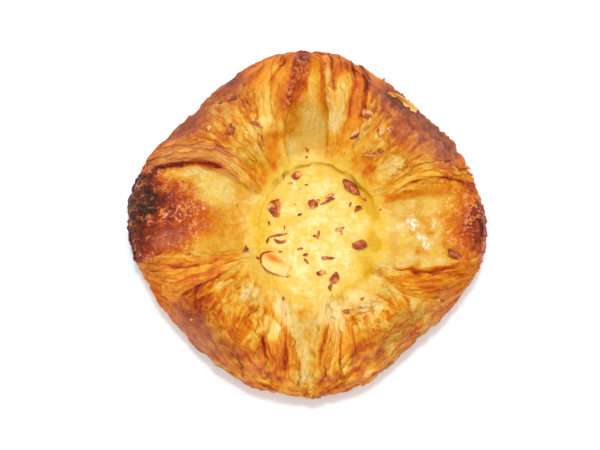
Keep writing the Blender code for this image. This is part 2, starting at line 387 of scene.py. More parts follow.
def lanes(sector, leftwards, over_floor, over_bank, over_lobe, out):
    """The direction of each column at each ring's share of the reach. Columns follow the banks."""
    banks = banks_around()
    widening = unit((out - BANK_START) / (BANK_END - BANK_START))[:, None]
    foot = through(np.array([bank.foot for bank in banks])[sector].T[:, None, :], widening)
    width = through(np.array([bank.width for bank in banks])[sector].T[:, None, :], widening)
    distance = np.maximum(out, TOP_FROM / 2)[:, None] * np.array([o.reach for o in OPENINGS]).mean()
    foot_angle = np.arcsin(held_below(FOOT_LIMIT, foot / distance))
    crest_angle = np.arcsin(held_below(CREST_LIMIT, (foot + width) / distance))
    turned = foot_angle * over_floor + (crest_angle - foot_angle) * over_bank
    turned = turned + (math.pi / 4 - crest_angle) * over_lobe
    opening_angle = (sector + 1) // 2 * (math.pi / 2)
    return opening_angle + np.where(leftwards, turned, -turned)


def top_height(angle, radius, rise):
    """The height of the upper surface, before its outer edge turns over."""
    share = well_share(radius * np.cos(angle), radius * np.sin(angle))
    climb = unit((share - 1) / RISE_SPAN)
    climb = 0.45 * smooth(0, 1, climb) + 0.55 * (1 - (1 - climb) ** 1.5)
    lobe = CUSTARD_LEVEL + (of_lobes("crest", angle) - CUSTARD_LEVEL) * climb
    lobe = lobe - SHOULDER_DROP * smooth(0.68, 1.05, radius / reach(angle))
    out = unit((share - 1) / FLOOR_SPAN)
    middle, outer = of_openings("floor_middle", angle), of_openings("floor_outer", angle)
    floor = through((CUSTARD_LEVEL, middle, outer), out)
    well_floor = CUSTARD_LEVEL - WELL_DEPTH * (1 - share**2)
    return np.where(share < 1, well_floor, floor + (lobe - floor) * rise)


def normals_of(points):
    """Unit normals, pointing out, of a grid of rings from the top down and columns anticlockwise."""
    along = np.gradient(points, axis=0)
    across = (np.roll(points, -1, axis=1) - np.roll(points, 1, axis=1)) / 2
    normal = np.cross(along, across)
    return normal / np.maximum(np.linalg.norm(normal, axis=-1, keepdims=True), 1e-9)


def plain_dough():
    """The dough's grid before any fine relief: every field is an array of rings by columns."""
    sector, leftwards, over_floor, over_bank, over_lobe = column_places()
    share, kept, down = ring_sections().T
    out = np.where(down > 0, 1, share)
    angle = lanes(sector, leftwards, over_floor, over_bank, over_lobe, out)
    across = np.ones_like(angle)
    dough = SimpleNamespace(
        sector=sector, angle=angle, share=share[:, None] * across, kept=kept[:, None] * across,
        down=down[:, None] * across,
        floor=over_floor * across, bank=over_bank * across, lobe=over_lobe * across,
    )
    dough.opening = ((sector + 1) // 2 % 4 * across).astype(int)
    dough.sector = (sector * across).astype(int)
    dough.across = dough.bank + dough.lobe
    lower = 0.5 * math.pi * dough.down
    outline = reach(angle) * (1 + outline_wander(angle))
    radius = (outline - FOOT_INSET * (1 - np.cos(lower))) * dough.share
    climb = 0.55 * np.sin(0.5 * math.pi * dough.bank) + 0.45 * smooth(0, 1, dough.bank)
    dough.rise = CREST_SHARE * climb + (1 - CREST_SHARE) * (1 - (1 - dough.lobe) ** 2.5)
    dough.top = top_height(angle, radius, dough.rise)
    dough.x, dough.y = radius * np.cos(angle), radius * np.sin(angle)
    dough.pool = well_share(dough.x, dough.y)
    dough.radius = radius
    stray = smooth(1, 1.4, dough.pool) * fall(0.85, 1, dough.share)
    flat = on_plan(dough.x, dough.y)
    dough.x = dough.x + stray * noises(flat, (1.1, 11, 53), (0.35, 4, 55))
    dough.y = dough.y + stray * noises(flat, (1.1, 11, 54), (0.35, 4, 56))
    cup = smooth(1, 1.5, dough.pool) * fall(0, 0.5, dough.bank)
    dough.top = dough.top + swells(dough) + 1.1 * cup * dough.floor**3
    dough.z = np.where(
        dough.down > 0,
        WAIST_HEIGHT * (1 - np.sin(lower)),
        WAIST_HEIGHT + (dough.top - WAIST_HEIGHT) * dough.kept,
    )
    turned_over = (dough.top - WAIST_HEIGHT) * (1 - dough.kept)
    dough.drop = np.where(dough.down > 0, dough.top - dough.z, turned_over)
    dough.points = places(dough.x, dough.y, dough.z)
    return dough


def ring_coordinates(angle, size):
    """Places on a circle of some size, so that noise along it closes on itself."""
    return on_plan(size * np.cos(angle), size * np.sin(angle))


def outline_wander(angle):
    """How far the outline leaves its smooth shape, as a share of the reach."""
    wander = 0.013 * noise(ring_coordinates(angle, 3), 41) + 0.008 * noise(ring_coordinates(angle, 9), 42)
    return wander + 0.004 * noise(ring_coordinates(angle, 22), 43)


def swells(dough):
    """Low swells of the upper surface outside the pool, and the lip over the pool's north side."""
    flat = on_plan(dough.x, dough.y)
    height = noises(flat, (0.9, 13, 51), (0.45, 6, 52))
    return height * smooth(1.02, 1.35, dough.pool) * (0.35 + 0.65 * dough.rise) + 0.4 * pool_lip(dough)


def pool_lip(dough):
    """Where the dough's edge laps over the custard, on the pool's north side."""
    return hill(past_pool(dough) - 0.04, 0.024) * smooth(-0.1, 0.7, np.sin(dough.angle))


def pool_edge(angle):
    """Where the custard meets the dough on the pool's north side, as a share of the pool's radius."""
    wander = 0.03 * noise(ring_coordinates(angle, 4.5), 57)
    return 1.035 + wander + 0.014 * noise(ring_coordinates(angle, 10), 58)


def past_pool(dough):
    """How far each point lies outside that edge."""
    return dough.pool - pool_edge(pool_angle(dough))


def pool_angle(dough):
    """The direction from the pool's centre."""
    return np.arctan2(dough.y - WELL_CENTRE[1], dough.x - WELL_CENTRE[0])


def of_banks(field, dough):
    """A field of the banks' layers, at each point of the dough."""
    return np.array([getattr(layering, field) for layering in LAYERINGS])[dough.sector]


def layer_relief(dough):
    """The cut edges: broad sheets of fine layers, each sheet with a lip over the one below. The layers run
    along the banks, and wrap round the corners on the outer wall. It gives the relief, painted shade in the
    creases, where the layers show at all, the count of layers and the broad sheets' numbers."""
    space = dough.points / 5
    wrapped = np.where(dough.drop < 8, dough.drop**2 / 25, 0.64 * dough.drop - 2.56)
    crumple = np.where((dough.sector == 5) | (dough.sector == 6), 1.8, 1)
    warp = crumple * (0.55 * noise(space * 0.55, 61) + 0.25 * noise(space * 1.4, 62))
    count = of_banks("layers", dough) * dough.across + wrapped + warp

    uneven = 0.42 * noise(places(count / 2.3, dough.sector * 5, space[..., 2] * 0.2), 66)
    sheets = count / SHEET_LAYERS + uneven
    sheet = np.floor(sheets)
    part = sheets - sheet
    lip = smooth(0, 0.13, part) * (1 - 0.85 * smooth(0.08, 1, part))
    tall = 0.6 + 0.55 * noise(space * 0.5 + sheet[..., None] * 7.7, 64)
    crease = fall(0, 0.1, part) + smooth(0.94, 1, part)

    fine_part = count - np.floor(count)
    fine_lip = smooth(0, 0.25, fine_part) * (1 - 0.9 * smooth(0.2, 1, fine_part))
    broken = smooth(-0.35, 0.45, noise(space * 1.2 + np.floor(count)[..., None] * 3.1, 63))
    fine_crease = fall(0, 0.22, fine_part) * broken

    edge = of_banks("limit", dough) + 0.12 * noise(space * 0.9, 67)
    start = of_banks("start", dough)
    on_bank = smooth(start, start + 0.1, dough.across) * fall(edge - 0.25, edge, dough.across)
    wall_edge = edge + 0.35
    on_wall = smooth(2, 5, dough.drop) * fall(wall_edge - 0.4, wall_edge, dough.across)
    shown = np.maximum(on_bank, on_wall) * smooth(1.03, 1.25, dough.pool) * fall(0.5, 0.85, dough.down)
    relief = of_banks("sheet", dough) * tall * lip + of_banks("fine", dough) * fine_lip * broken
    crease_shade = unit(0.9 * crease * smooth(0.1, 0.8, tall) + 0.6 * fine_crease) * of_banks("lines", dough)
    return shown * relief, shown * crease_shade, shown, count, sheet


def flow_of(dough):
    """A place for the noise of the skin's streaks, drawn out along the way from the pool to the outline,
    and round the dough on its wall."""
    wall = smooth(2.5, 8, dough.drop)
    round_it = 26 - 18 * wall
    outward = dough.radius / 7.5 + 0.8 * wall * dough.drop
    return places(round_it * np.cos(dough.angle), round_it * np.sin(dough.angle), outward)


def crooked_flow(dough):
    """The same, with the streaks bent to and fro."""
    bend = noises(dough.points, (0.7, 9, 71), (0.22, 3, 70))
    return flow_of(dough) + bend[..., None] * np.array([1, -1, 0.6])


def flake_relief(dough):
    """The lobes' skin: streaks that run out from the pool, and torn leaves of the uppermost layers, each
    with a lip over the next. It gives the relief, the streaks, the leaves' edges, the creases below them,
    which are given painted shade, and their numbers."""
    bend = 0.7 * noise(dough.points / 7, 71)[..., None] * np.array([1, -1, 0.6])
    flow = crooked_flow(dough)
    streak = 1 - 2.2 * np.abs(noise(flow / 1.7, 72))
    fine_streak = 1 - 2.2 * np.abs(noise(flow / 0.9, 73))
    wrinkle = np.clip(1 - 2.6 * np.abs(noise(dough.points / 3.4 + bend, 75)), -0.6, 1)
    crinkle = np.clip(1 - 2.6 * np.abs(noise(dough.points / 1.8 + 0.6 * bend, 76)), -0.6, 1)

    cells = flow / np.array([2.3, 2.3, 1.6]) + 0.35 * noise(dough.points / 3, 74)[..., None]
    _, border, leaf, offset = scatter(cells, 77)
    _, small_border, small_leaf, small_offset = scatter(flow / np.array([1.5, 1.5, 0.85]), 78)
    turned = offset[..., 0] * np.cos(leaf * 39) + offset[..., 1] * np.sin(leaf * 39)
    tilted = 0.3 * turned - 0.3 * offset[..., 2] + 0.3 * (leaf - 0.5)
    tilted = tilted + 0.08 * (small_leaf - 0.5) - 0.08 * small_offset[..., 2]
    crease = fall(0.02, 0.16, border) * smooth(0.25, 0.6, leaf)
    crease = np.maximum(crease, 0.3 * fall(0.02, 0.2, small_border) * smooth(0.4, 0.8, small_leaf))

    on_lobe = smooth(0.1, 0.4, dough.bank) * smooth(1.12, 1.55, dough.pool)
    on_lobe = on_lobe * (0.75 + 0.25 * smooth(-15, 10, dough.y))
    inner = 1 - 0.3 * smooth(0.75, 0.97, dough.share)
    relief = 0.3 * streak + 0.2 * fine_streak + 0.28 * tilted + 0.06 * wrinkle + 0.04 * crinkle
    streak = on_lobe * inner * (0.65 * streak + 0.45 * fine_streak + 0.12 * wrinkle + 0.08 * crinkle)
    leaf = 0.75 * leaf + 0.25 * small_leaf
    return on_lobe * inner * relief, streak, on_lobe * (1 - crease), on_lobe * crease, leaf


def basin_mask(dough, opening, start, full):
    """Where the floor of a wide opening is, from some distance along it outwards."""
    along = np.cos(math.radians(OPENINGS[opening].direction)) * dough.x
    here = (dough.opening == opening) * fall(0.02, 0.3, dough.bank)
    return here * smooth(start, full, along) * fall(0, 0.4, dough.down)


def bubble_relief(dough):
    """The blistered, glassy crust at the outer ends of the wide openings."""
    caps = domes(dough.points / 1.55, 81, 0.62, 0.2)
    fine_caps = domes(dough.points / 0.95, 82, 0.6, 0)
    amount = basin_mask(dough, WEST, 29, 35) + 0.9 * basin_mask(dough, EAST, 34, 45)
    return amount * (0.62 * caps + 0.34 * fine_caps), amount * np.maximum(caps, 0.8 * fine_caps), amount


def floor_relief(dough):
    """The small lumps and creases of the openings' floors."""
    floor = fall(0, 0.12, dough.bank) * smooth(1.15, 1.5, dough.pool) * fall(0, 0.4, dough.down)
    lumps = noises(dough.points, (0.22, 4.5, 126), (0.12, 1.6, 121), (0.07, 0.9, 122))
    crease = np.abs(noise(dough.points / 4, 123) + 0.3 * noise(dough.points / 1.6, 124))
    crease = np.clip(1 - 3 * crease, -0.5, 1)
    depth = np.choose(dough.opening, (0.12, 0.15, 0.12, 0.55))
    lines = wrinkles_of(dough)
    folds = floor * crease * np.where(dough.opening == SOUTH, 1, 0.3) - 1.3 * lines
    return floor * (lumps + depth * crease) - 0.5 * lines, folds


def wrinkles_of(dough):
    """The thin dark wrinkles of the crumpled dough at the pool's south, from 0 to 1."""
    south = (dough.opening == SOUTH) * fall(0.25, 0.45, dough.bank) * smooth(1.15, 1.35, dough.pool)
    bent = dough.points / np.array([4, 6, 4.5]) + 0.25 * noise(dough.points / 2.6, 127)[..., None]
    return south * unit(1 - 7 * np.abs(noise(bent, 125)))


def ragged_relief(dough):
    """The rough outer wall: chipped plateaus all around, and crumbs of crust on the north-east corner."""
    wall = smooth(1.5, 5, dough.drop) * fall(0.3, 0.8, dough.down)
    chips = smooth(-0.06, 0.06, noise(dough.points / 4.5, 131)) - 0.5
    chips = 0.7 * chips + 0.35 * (smooth(-0.08, 0.08, noise(dough.points / 2, 132)) - 0.5)
    sides = np.where(dough.opening % 2 == 0, fall(0, 0.3, dough.bank), 0)
    chips = chips * (0.25 + 0.75 * smooth(-0.3, 0.4, noise(dough.points / 14, 134))) * (1 - 0.75 * sides)
    corner = smooth(0.66, 0.84, dough.share) * smooth(18, 26, dough.x) * smooth(10, 16, dough.y)
    crumbs = corner * domes(dough.points / 1.6, 133, 0.66, 0.3)
    return wall * chips + crumbs * fall(0.3, 0.8, dough.down), crumbs


def seam_relief(dough):
    """The lips and creases along the banks. It gives their relief, how much they brown the dough, with
    painted shade in the sunk creases and painted highlights on the ropes' grains, where they are granular
    ropes, and the ropes' grains."""
    relief, bake, rope = 0, 0, 0
    grains = domes(dough.points / 1.15, 93, 0.62, 0.3)
    for number, seam in enumerate(SEAMS):
        place = through(seam.places, unit((dough.share - seam.start) / (seam.end - seam.start)))
        stray = seam.stray * noise(dough.points / 3.5, 90 + number)
        near = hill(dough.across - place - stray, seam.width) * (dough.sector == seam.sector)
        near = near * smooth(seam.start, seam.start + 0.08, dough.share)
        near = near * fall(seam.end - 0.06, seam.end, dough.share)
        knobs = 1 + seam.knobs * noises(dough.points, (0.45, 1.7, 91), (0.3, 4.5, 92))
        relief = relief + seam.rise * near * knobs
        # Along a sunk seam this darkening is painted shade in its crease.
        bake = bake + seam.bake * near * knobs
        if seam.knobs > 1:
            rope = rope + near
    relief = relief + rope * (0.95 * grains - 0.1)
    # The ropes' grain tops are paler: painted highlights.
    return relief, bake + rope * (0.16 - 0.42 * grains), unit(rope), unit(rope * grains)


def patch_fields(dough):
    """What the patches add to the relief, to the browning and to the blush."""
    space = dough.points / 3
    x = dough.x + 0.7 * noise(space, 111) + 0.35 * noise(space * 2.3, 112)
    y = dough.y + 0.7 * noise(space, 113) + 0.35 * noise(space * 2.3, 114)
    relief, bake, blush = 0, 0, 0
    for patch in PATCHES:
        turn = math.radians(patch.turn)
        east, north = x - patch.x, y - patch.y
        along = (east * math.cos(turn) + north * math.sin(turn)) / patch.length
        across = (north * math.cos(turn) - east * math.sin(turn)) / patch.width
        cover = fall(1 - patch.soft, 1 + patch.soft, np.hypot(along, across))
        cover = cover * (1 - dough.down)
        relief = relief + patch.rise * cover
        bake = bake + patch.bake * cover
        blush = blush + patch.blush * cover
    return relief, bake, np.clip(blush, -1, 1)


QUARTERS = [opening.direction for opening in OPENINGS]

# How much deeper the custard's yellow is at its edge, at the east, north, west and south
CUSTARD_RIM = (1, 0.16, 0.52, 0.02)

# How brown the floors of the west and east openings are, and at what shares of the way in from the outline
WEST_BROWNING = (0.98, 0.95, 0.87, 0.77, 0.67, 0.57, 0.44, 0.3, 0.22)
WEST_PLACES = (0, 0.1, 0.28, 0.5, 0.72, 0.92, 1.05, 1.25, 1.6)
EAST_BROWNING = (0.88, 0.84, 0.75, 0.49, 0.35, 0.26, 0.17)
EAST_PLACES = (0, 0.3, 0.6, 0.84, 1.1, 1.5, 2)


def floor_browning(dough):
    """How far the floors of the east, north, west and south openings have baked."""
    ragged = noises(dough.points, (3, 9, 106), (1.5, 3.5, 107))
    inwards = (dough.x + 54.5) / 24 + 0.05 * ragged
    bowed = np.clip((dough.y - 1) / 12, -1.4, 1.4) ** 2
    inwards = inwards + 0.34 * bowed * smooth(-54, -44, dough.x)
    west = np.interp(inwards, WEST_PLACES, WEST_BROWNING)
    inwards = np.hypot((dough.x - 56) / 14, (dough.y + 3) / 13) + 0.06 * ragged
    east = np.interp(inwards, EAST_PLACES, EAST_BROWNING)
    middle = np.interp(dough.y, (20, 28, 35.6, 43.6), (2, 1.6, 0.9, 2.3))
    half_width = np.interp(dough.y, (18, 27, 36, 44), (8.5, 4.6, 1.9, 1.3))
    strip = np.abs(dough.x - middle + 0.35 * ragged) / half_width
    north = 0.18 + 0.06 * smooth(30, 50, dough.y) + 0.25 * smooth(0.5, 2.1, strip)
    north = north + 0.06 * smooth(33, 40, dough.y) + 0.12 * smooth(44, 52, dough.y)
    half_width = np.interp(-dough.y, (24, 33, 42, 52), (12, 6, 2.4, 1.5))
    strip = np.abs(dough.x + 1.5 + 0.3 * ragged) / half_width
    south = 0.18 + 0.17 * smooth(0.6, 2.1, strip) + 0.14 * smooth(44, 54, -dough.y)
    return east, north, west, south


def wall_browning(dough, bake, patch, west):
    """The browning, with the outer wall's paleness, its darker rim, part browning and part painted shade, and
    its crumpled south worked in.
    """
    rim = smooth(2.5, 5, dough.drop) * fall(9, 14, dough.drop) * smooth(-5, 15, dough.y)
    # The north rim darker: browned, and painted shade at the outline.
    bake = bake + 0.05 * rim
    scorched = smooth(0.55, 0.75, west) * (dough.opening == WEST) * fall(0.1, 0.5, dough.bank)
    wall = smooth(3, 9, dough.drop) * (1 - scorched) * (1 - rim)
    bake = bake - wall * (bake - 0.48 - patch) * 0.4 - 0.1 * smooth(0.2, 0.9, dough.down)
    crumpled = smooth(1.5, 5, dough.drop) * smooth(26, 40, -dough.y) * fall(0.5, 0.9, dough.down)
    return bake + crumpled * noises(dough.points, (0.2, 3.2, 141), (0.14, 1.5, 142))


def browning(dough, crease_shade, shown, sheet, streak, leaf, seams):
    """How far each point has baked, from 0, pale, to 1, nearly black."""
    patch = 0.11 * noise(on_plan(dough.x, dough.y) / 8, 101) + 0.07 * noise(dough.points / 3.2, 102)
    outer = smooth(0.5, 0.95, dough.share)
    tone = 0.12 * noise(places(sheet * 1.37, dough.sector * 3.1, dough.share * 2.5), 103)
    leaf_tone = 0.15 * (leaf - 0.5)
    # Paler along the raised streaks: pale flaky skin, and painted highlight.
    lobe = 0.41 + 0.17 * outer + 1.3 * patch + leaf_tone - 0.15 * streak
    lobe = lobe + 0.18 * smooth(-25, 25, dough.y) * outer
    bank = 0.39 + 0.1 * outer + patch + tone + of_banks("bake", dough)
    bake = bank * shown + lobe * (1 - shown)

    edge = dough.bank + np.where(dough.sector == 7, 0.12, 0.05) * noise(dough.points / 3.5, 105)
    floor = fall(0, 0.16, edge) * smooth(1, 1.05, dough.pool)
    floors = floor_browning(dough)
    for opening, value in enumerate(floors):
        here = floor * (dough.opening == opening)
        bake = bake + here * (value + 0.5 * patch - bake)
    band = (dough.sector == 0) * smooth(0.02, 0.14, dough.bank) * fall(0.42, 0.54, dough.bank)
    bake = bake + band * (0.4 + 0.2 * smooth(0.82, 0.95, dough.share) + 0.5 * patch - bake)
    # The creases are browner too: painted shade.
    bake = bake + seams + 0.16 * crease_shade
    fades_by = 1.65 - 0.43 * smooth(-0.2, 0.5, np.sin(dough.angle))
    bake = bake - 0.25 * fall(1.03, fades_by, dough.pool) * smooth(0, 0.15, dough.bank)
    # A little painted contact shade at the custard's north edge.
    return wall_browning(dough, bake, patch, floors[WEST]) + 0.06 * brim_shade_of(dough)


def brim_shade_of(dough):
    """Painted contact shade: a thin dark line where the custard meets the dough, on the pool's north side."""
    line = hill(past_pool(dough) - 0.012, 0.014) * smooth(-0.1, 0.5, np.sin(dough.angle))
    return line * np.clip(0.75 + 0.9 * noise(dough.points / 3, 109), 0.2, 1)


def along_floor(dough):
    """The narrow openings at 1 and the wide ones at 0.4."""
    return np.where(dough.opening % 2 == 1, 1, 0.4)


def yolk(x, y, pool, angle):
    """How deep the yellow of the custard and of stained dough is, from 0, cream, to 1."""
    flat = on_plan(x, y)
    rim = smooth(0.68, 1.04, pool) * fall(0.98, 1.22, pool) * around(QUARTERS, CUSTARD_RIM, angle)
    rim = rim * np.clip(0.95 + 1.1 * noise(flat / 5, 208), 0.4, 1.4)
    return 0.24 + rim + noises(flat, (0.15, 7, 205), (0.16, 2.5, 206), (0.08, 1.2, 207))


DRY_BANKS = (0.05, 0.15, 0.15, 0.62, 0.15, 0.1, 0.1, 0)  # how pale and dry each bank's layers are


def dry_and_highlight_of(dough, shown, ragged, seams, grains, crumbs):
    """Where the crust is matt and pinkish: on the cut layers of some banks, and on the rough outer wall; and
    the paler pink tops of the ropes' grains and of the crumbs, which are painted highlights.
    """
    banks = np.array(DRY_BANKS)[dough.sector] * shown * fall(5, 9, dough.drop)
    banks = banks * smooth(0, 0.2, dough.bank) * smooth(1.35, 1.8, dough.pool)
    outer = smooth(2, 6, dough.drop) * smooth(30, 42, -dough.y) * smooth(-0.1, 0.3, ragged)
    corner = smooth(0.8, 0.95, dough.share) * smooth(15, 25, -dough.y)
    corner = corner * smooth(0.3, 0.8, dough.lobe + dough.bank - 0.5)
    northern = smooth(0, 0.15, dough.lobe) * smooth(0.45, 0.8, dough.share) * smooth(-10, 10, dough.y)
    dry_and_highlight = 0.18 * northern + banks * fall(0.05, 0.25, seams) + 0.3 * outer + 0.1 * corner
    # Painted highlights: the grains and crumbs paler and pinker on top.
    return unit(dry_and_highlight + 0.9 * grains + 0.5 * crumbs)


def valley_shade_of(dough):
    """Painted shade, a little grey: low on the floors, most of all in the narrow openings."""
    floor = fall(0, 0.45, dough.bank) * smooth(1.02, 1.25, dough.pool)
    narrow = (dough.opening == NORTH) * fall(0.5, 1.2, dough.across) * smooth(1.05, 1.4, dough.pool)
    inner = np.choose(dough.opening, (0.32, 0.34, 0.25, 0.16)) * fall(1.7, 2.2, dough.pool)
    painted_shade = floor * (np.choose(dough.opening, (0.45, 0.4, 0.45, 0.32)) + inner) + 0.35 * narrow
    return unit(painted_shade * (1 - 0.7 * smooth(32, 42, dough.y)))


def stain_of(dough):
    """Where egg has coloured the dough yellow: around the pool, and in spots of the wide openings."""
    ragged = noises(dough.points, (0.16, 4, 108), (0.08, 1.6, 110))
    around_pool = fall(1.02, 1.4, dough.pool + ragged)
    inner = smooth(-37, -31, dough.x) * fall(-26, -20, dough.x) * smooth(1, 7, dough.y)
    basin = (dough.opening == WEST) * fall(0, 0.3, dough.bank) * inner
    cups = (dough.opening == EAST) * fall(0, 0.2, dough.bank) * smooth(24, 30, dough.x)
    cups = cups * fall(38, 44, dough.x) * smooth(-0.25, 0.25, noise(dough.points / 4, 115))
    return unit(around_pool + 0.8 * basin + 0.55 * cups)


def shaped_dough():
    """The dough's points with all their relief, and the fields that its material reads."""
    dough = plain_dough()
    layers, crease_shade, shown, count, sheet = layer_relief(dough)
    flakes, streak, edge, crease, leaf = flake_relief(dough)
    bubbles, caps, glassy = bubble_relief(dough)
    lips, seams, rope, grains = seam_relief(dough)
    raised, patch_bake, tint = patch_fields(dough)
    bottom, bottom_crease = floor_relief(dough)
    ragged, crumbs = ragged_relief(dough)
    sides = fall(0.5, 1, dough.down)
    above_well = smooth(0.98, 1.04, dough.pool)
    relief = layers + flakes * (1 - shown) + bubbles + lips + raised + bottom + ragged
    normal = normals_of(dough.points)
    points = dough.points + normal * (relief * sides * above_well)[..., None]
    points[..., 2] = np.maximum(points[..., 2], 0)
    # The creases below the lobes' leaves get painted shade as well.
    crease_shade = np.maximum(crease_shade, 0.6 * crease * (1 - shown) * (1 - 0.5 * smooth(0, 15, dough.y)))
    bake = browning(dough, crease_shade, shown, sheet, streak, leaf, (seams + patch_bake) * above_well)
    # Painted highlights: paler tops on the blisters and crumbs. Painted shade: darker in the creases below
    # the lobes' leaves and in the floors' sunk wrinkles.
    bake = bake - 0.06 * edge * (1 - shown) - 0.2 * caps - 0.2 * crumbs - 0.08 * bottom_crease
    strands = places(count, 6 * dough.share, 3 * dough.sector)
    glassy = glassy * (1 - 0.9 * smooth(0, 0.5, -patch_bake)) * (1 - 0.5 * unit(tint))
    flaky = np.maximum(smooth(0.1, 0.4, dough.bank), 0.6 * along_floor(dough)) * smooth(1.2, 1.6, dough.pool)
    yellow = yolk(dough.x, dough.y, dough.pool, pool_angle(dough))
    fields = {
        "bake": unit(bake),
        "crease_shade": crease_shade * sides,
        "layered": shown * sides * of_banks("lines", dough),
        "glassy": unit(glassy + 0.6 * rope + 0.3 * crumbs),
        # The ropes' grains add a little pink here too: painted highlight.
        "blush": unit(tint + 0.1 * grains),
        # Milky white spots, partly painted glints, where a patch's tint is below 0.
        "milk_glint": unit(-tint),
        "brim_shade": brim_shade_of(dough),
        "dry_and_highlight": dry_and_highlight_of(dough, shown, ragged, seams, grains, crumbs),
        "valley_shade": valley_shade_of(dough),
        "stain": stain_of(dough),
        "yolk": yellow + 0.12 * smooth(0, 0.6, dough.bank),
        "flaky": flaky * (1 - shown),
        "flow": crooked_flow(dough),
        "strands": strands,
    }
    points = points - middle_of_base()
    return SimpleNamespace(points=points, normals=normals_of(points), fields=fields, across=dough.across)


def closed_grid(name, points, fields):
    """A closed mesh of rings of points, the first and last of which shrink to a point."""
    rings, columns = points.shape[:2]
    last = (rings - 2) * columns + 1
    first = 1 + np.arange(columns)
    after = 1 + (np.arange(columns) + 1) % columns
    faces = [(0, a, b) for a, b in zip(first.tolist(), after.tolist())]
    for ring in range(rings - 3):
        upper, lower = ring * columns, (ring + 1) * columns
        corners = (first + upper, first + lower, after + lower, after + upper)
        faces += zip(*[corner.tolist() for corner in corners])
    end = (rings - 3) * columns
    faces += [(last, b, a) for a, b in zip((first + end).tolist(), (after + end).tolist())]
    return mesh_of(name, closed_rows(points), faces, {key: closed_rows(grid) for key, grid in fields.items()})


def closed_rows(grid):
    """A row of one number or of three for each vertex of a closed mesh, from its grid."""
    body = grid[1:-1].reshape(-1, grid.shape[2] if grid.ndim == 3 else 1)
    top, bottom = [np.atleast_1d(ring.mean(axis=0))[None] for ring in (grid[0], grid[-1])]
    return np.concatenate([top, body, bottom])


def mesh_of(name, points, faces, fields):
    """A smooth mesh, whose fields are attributes with a row of one number or of three for each point."""
    mesh = bpy.data.meshes.new(name)
    mesh.from_pydata((points * MM).tolist(), [], faces)
    for field, rows in fields.items():
        kind, key = ("FLOAT", "value") if rows.shape[1] == 1 else ("FLOAT_VECTOR", "vector")
        mesh.attributes.new(field, kind, "POINT").data.foreach_set(key, rows.astype(np.float32).ravel())
    mesh.shade_smooth()
    return mesh


# --- Materials ---


def linear(red, green, blue):
    """A screen colour from 0 to 255 as the linear colour that a shader takes."""
    channels = np.array([red, green, blue]) / 255
    return tuple(np.where(channels < 0.04045, channels / 12.92, ((channels + 0.055) / 1.055) ** 2.4)) + (1,)


class Nodes:
    """Short forms for building a material's nodes."""

    def __init__(self, name):
        self.material = bpy.data.materials.new(name)
        self.material.use_nodes = True
        self.tree = self.material.node_tree
        self.shader = self.tree.nodes["Principled BSDF"]

    def add(self, kind, inputs=None, **settings):
        """A new node of some kind, with its inputs fed."""
        made = self.tree.nodes.new("ShaderNode" + kind)
        for key, value in settings.items():
            setattr(made, key, value)
        for key, value in (inputs or {}).items():
            self.feed(made.inputs[key], value)
        return made

    def feed(self, socket, value):
        """Links a socket to another node's output, or sets its value."""
        if isinstance(value, bpy.types.NodeSocket):
            self.tree.links.new(value, socket)
        else:
            socket.default_value = value

    def field(self, name, vector=False):
        """A field of the mesh."""
        return self.add("Attribute", attribute_name=name).outputs["Vector" if vector else "Fac"]

    def math(self, operation, *values, clamp=False):
        return self.add("Math", dict(enumerate(values)), operation=operation, use_clamp=clamp).outputs[0]

    def times(self, first, second, clamp=False):
        return self.math("MULTIPLY", first, second, clamp=clamp)

    def scaled(self, value, factor, more, clamp=False):
        """The value times a factor, with more added to it."""
        return self.math("MULTIPLY_ADD", value, factor, more, clamp=clamp)

    def sum(self, start, *parts):
        """A start with some parts added, each times its factor."""
        for part, factor in parts:
            start = self.scaled(part, factor, start)
        return start

    def place(self):
        """Places on the object, in metres."""
        return self.add("TexCoord").outputs["Object"]

    def grain(self, *noise):
        """Noise about 0."""
        return self.math("SUBTRACT", self.noise(*noise), 0.5)

    def dots(self, vector, scale):
        """The distance to the nearest of a scatter of dots."""
        return self.add("TexVoronoi", {"Vector": vector, "Scale": scale}).outputs["Distance"]

    def noise(self, vector, scale, detail, roughness=0.55):
        inputs = {"Vector": vector, "Scale": scale, "Detail": detail, "Roughness": roughness}
        return self.add("TexNoise", inputs).outputs["Fac"]

    def ridges(self, vector, scale, sharpness):
        """Thin crooked ridges: 1 along them, and 0 between."""
        height = self.math("ABSOLUTE", self.grain(vector, scale, 2.5))
        ridge = self.scaled(height, -sharpness, 1, clamp=True)
        return self.times(ridge, ridge)

    def ramp(self, value, stops):
        """The colour at a value, from stops of places and colours."""
        made = self.add("ValToRGB", {"Fac": value})
        elements = made.color_ramp.elements
        while len(elements) < len(stops):
            elements.new(1)
        for element, (place, colour) in zip(elements, stops):
            element.position = place
            element.color = colour
        return made.outputs["Color"]

    def mix(self, share, first, second, blend="MIX"):
        """The first colour, with a share of the second blended in."""
        inputs = {0: share, 6: first, 7: second}  # the sockets of a node that mixes colours
        return self.add("Mix", inputs, data_type="RGBA", blend_type=blend).outputs[2]

    def bump(self, height, strength, distance):
        """The direction of a surface with fine relief."""
        made = self.add("Bump", {"Height": height, "Strength": strength, "Distance": distance})
        return made.outputs["Normal"]

    def set(self, **inputs):
        """Feeds the surface's inputs, which are named with _ for each space."""
        for key, value in inputs.items():
            self.feed(self.shader.inputs[key.replace("_", " ")], value)


BAKE_COLOURS = (
    (0, linear(248, 220, 152)),
    (0.12, linear(242, 202, 104)),
    (0.26, linear(236, 176, 54)),
    (0.34, linear(228, 150, 28)),
    (0.44, linear(218, 122, 16)),
    (0.56, linear(198, 88, 14)),
    (0.7, linear(160, 56, 16)),
    (0.84, linear(104, 38, 18)),
    (1, linear(42, 24, 18)),
)


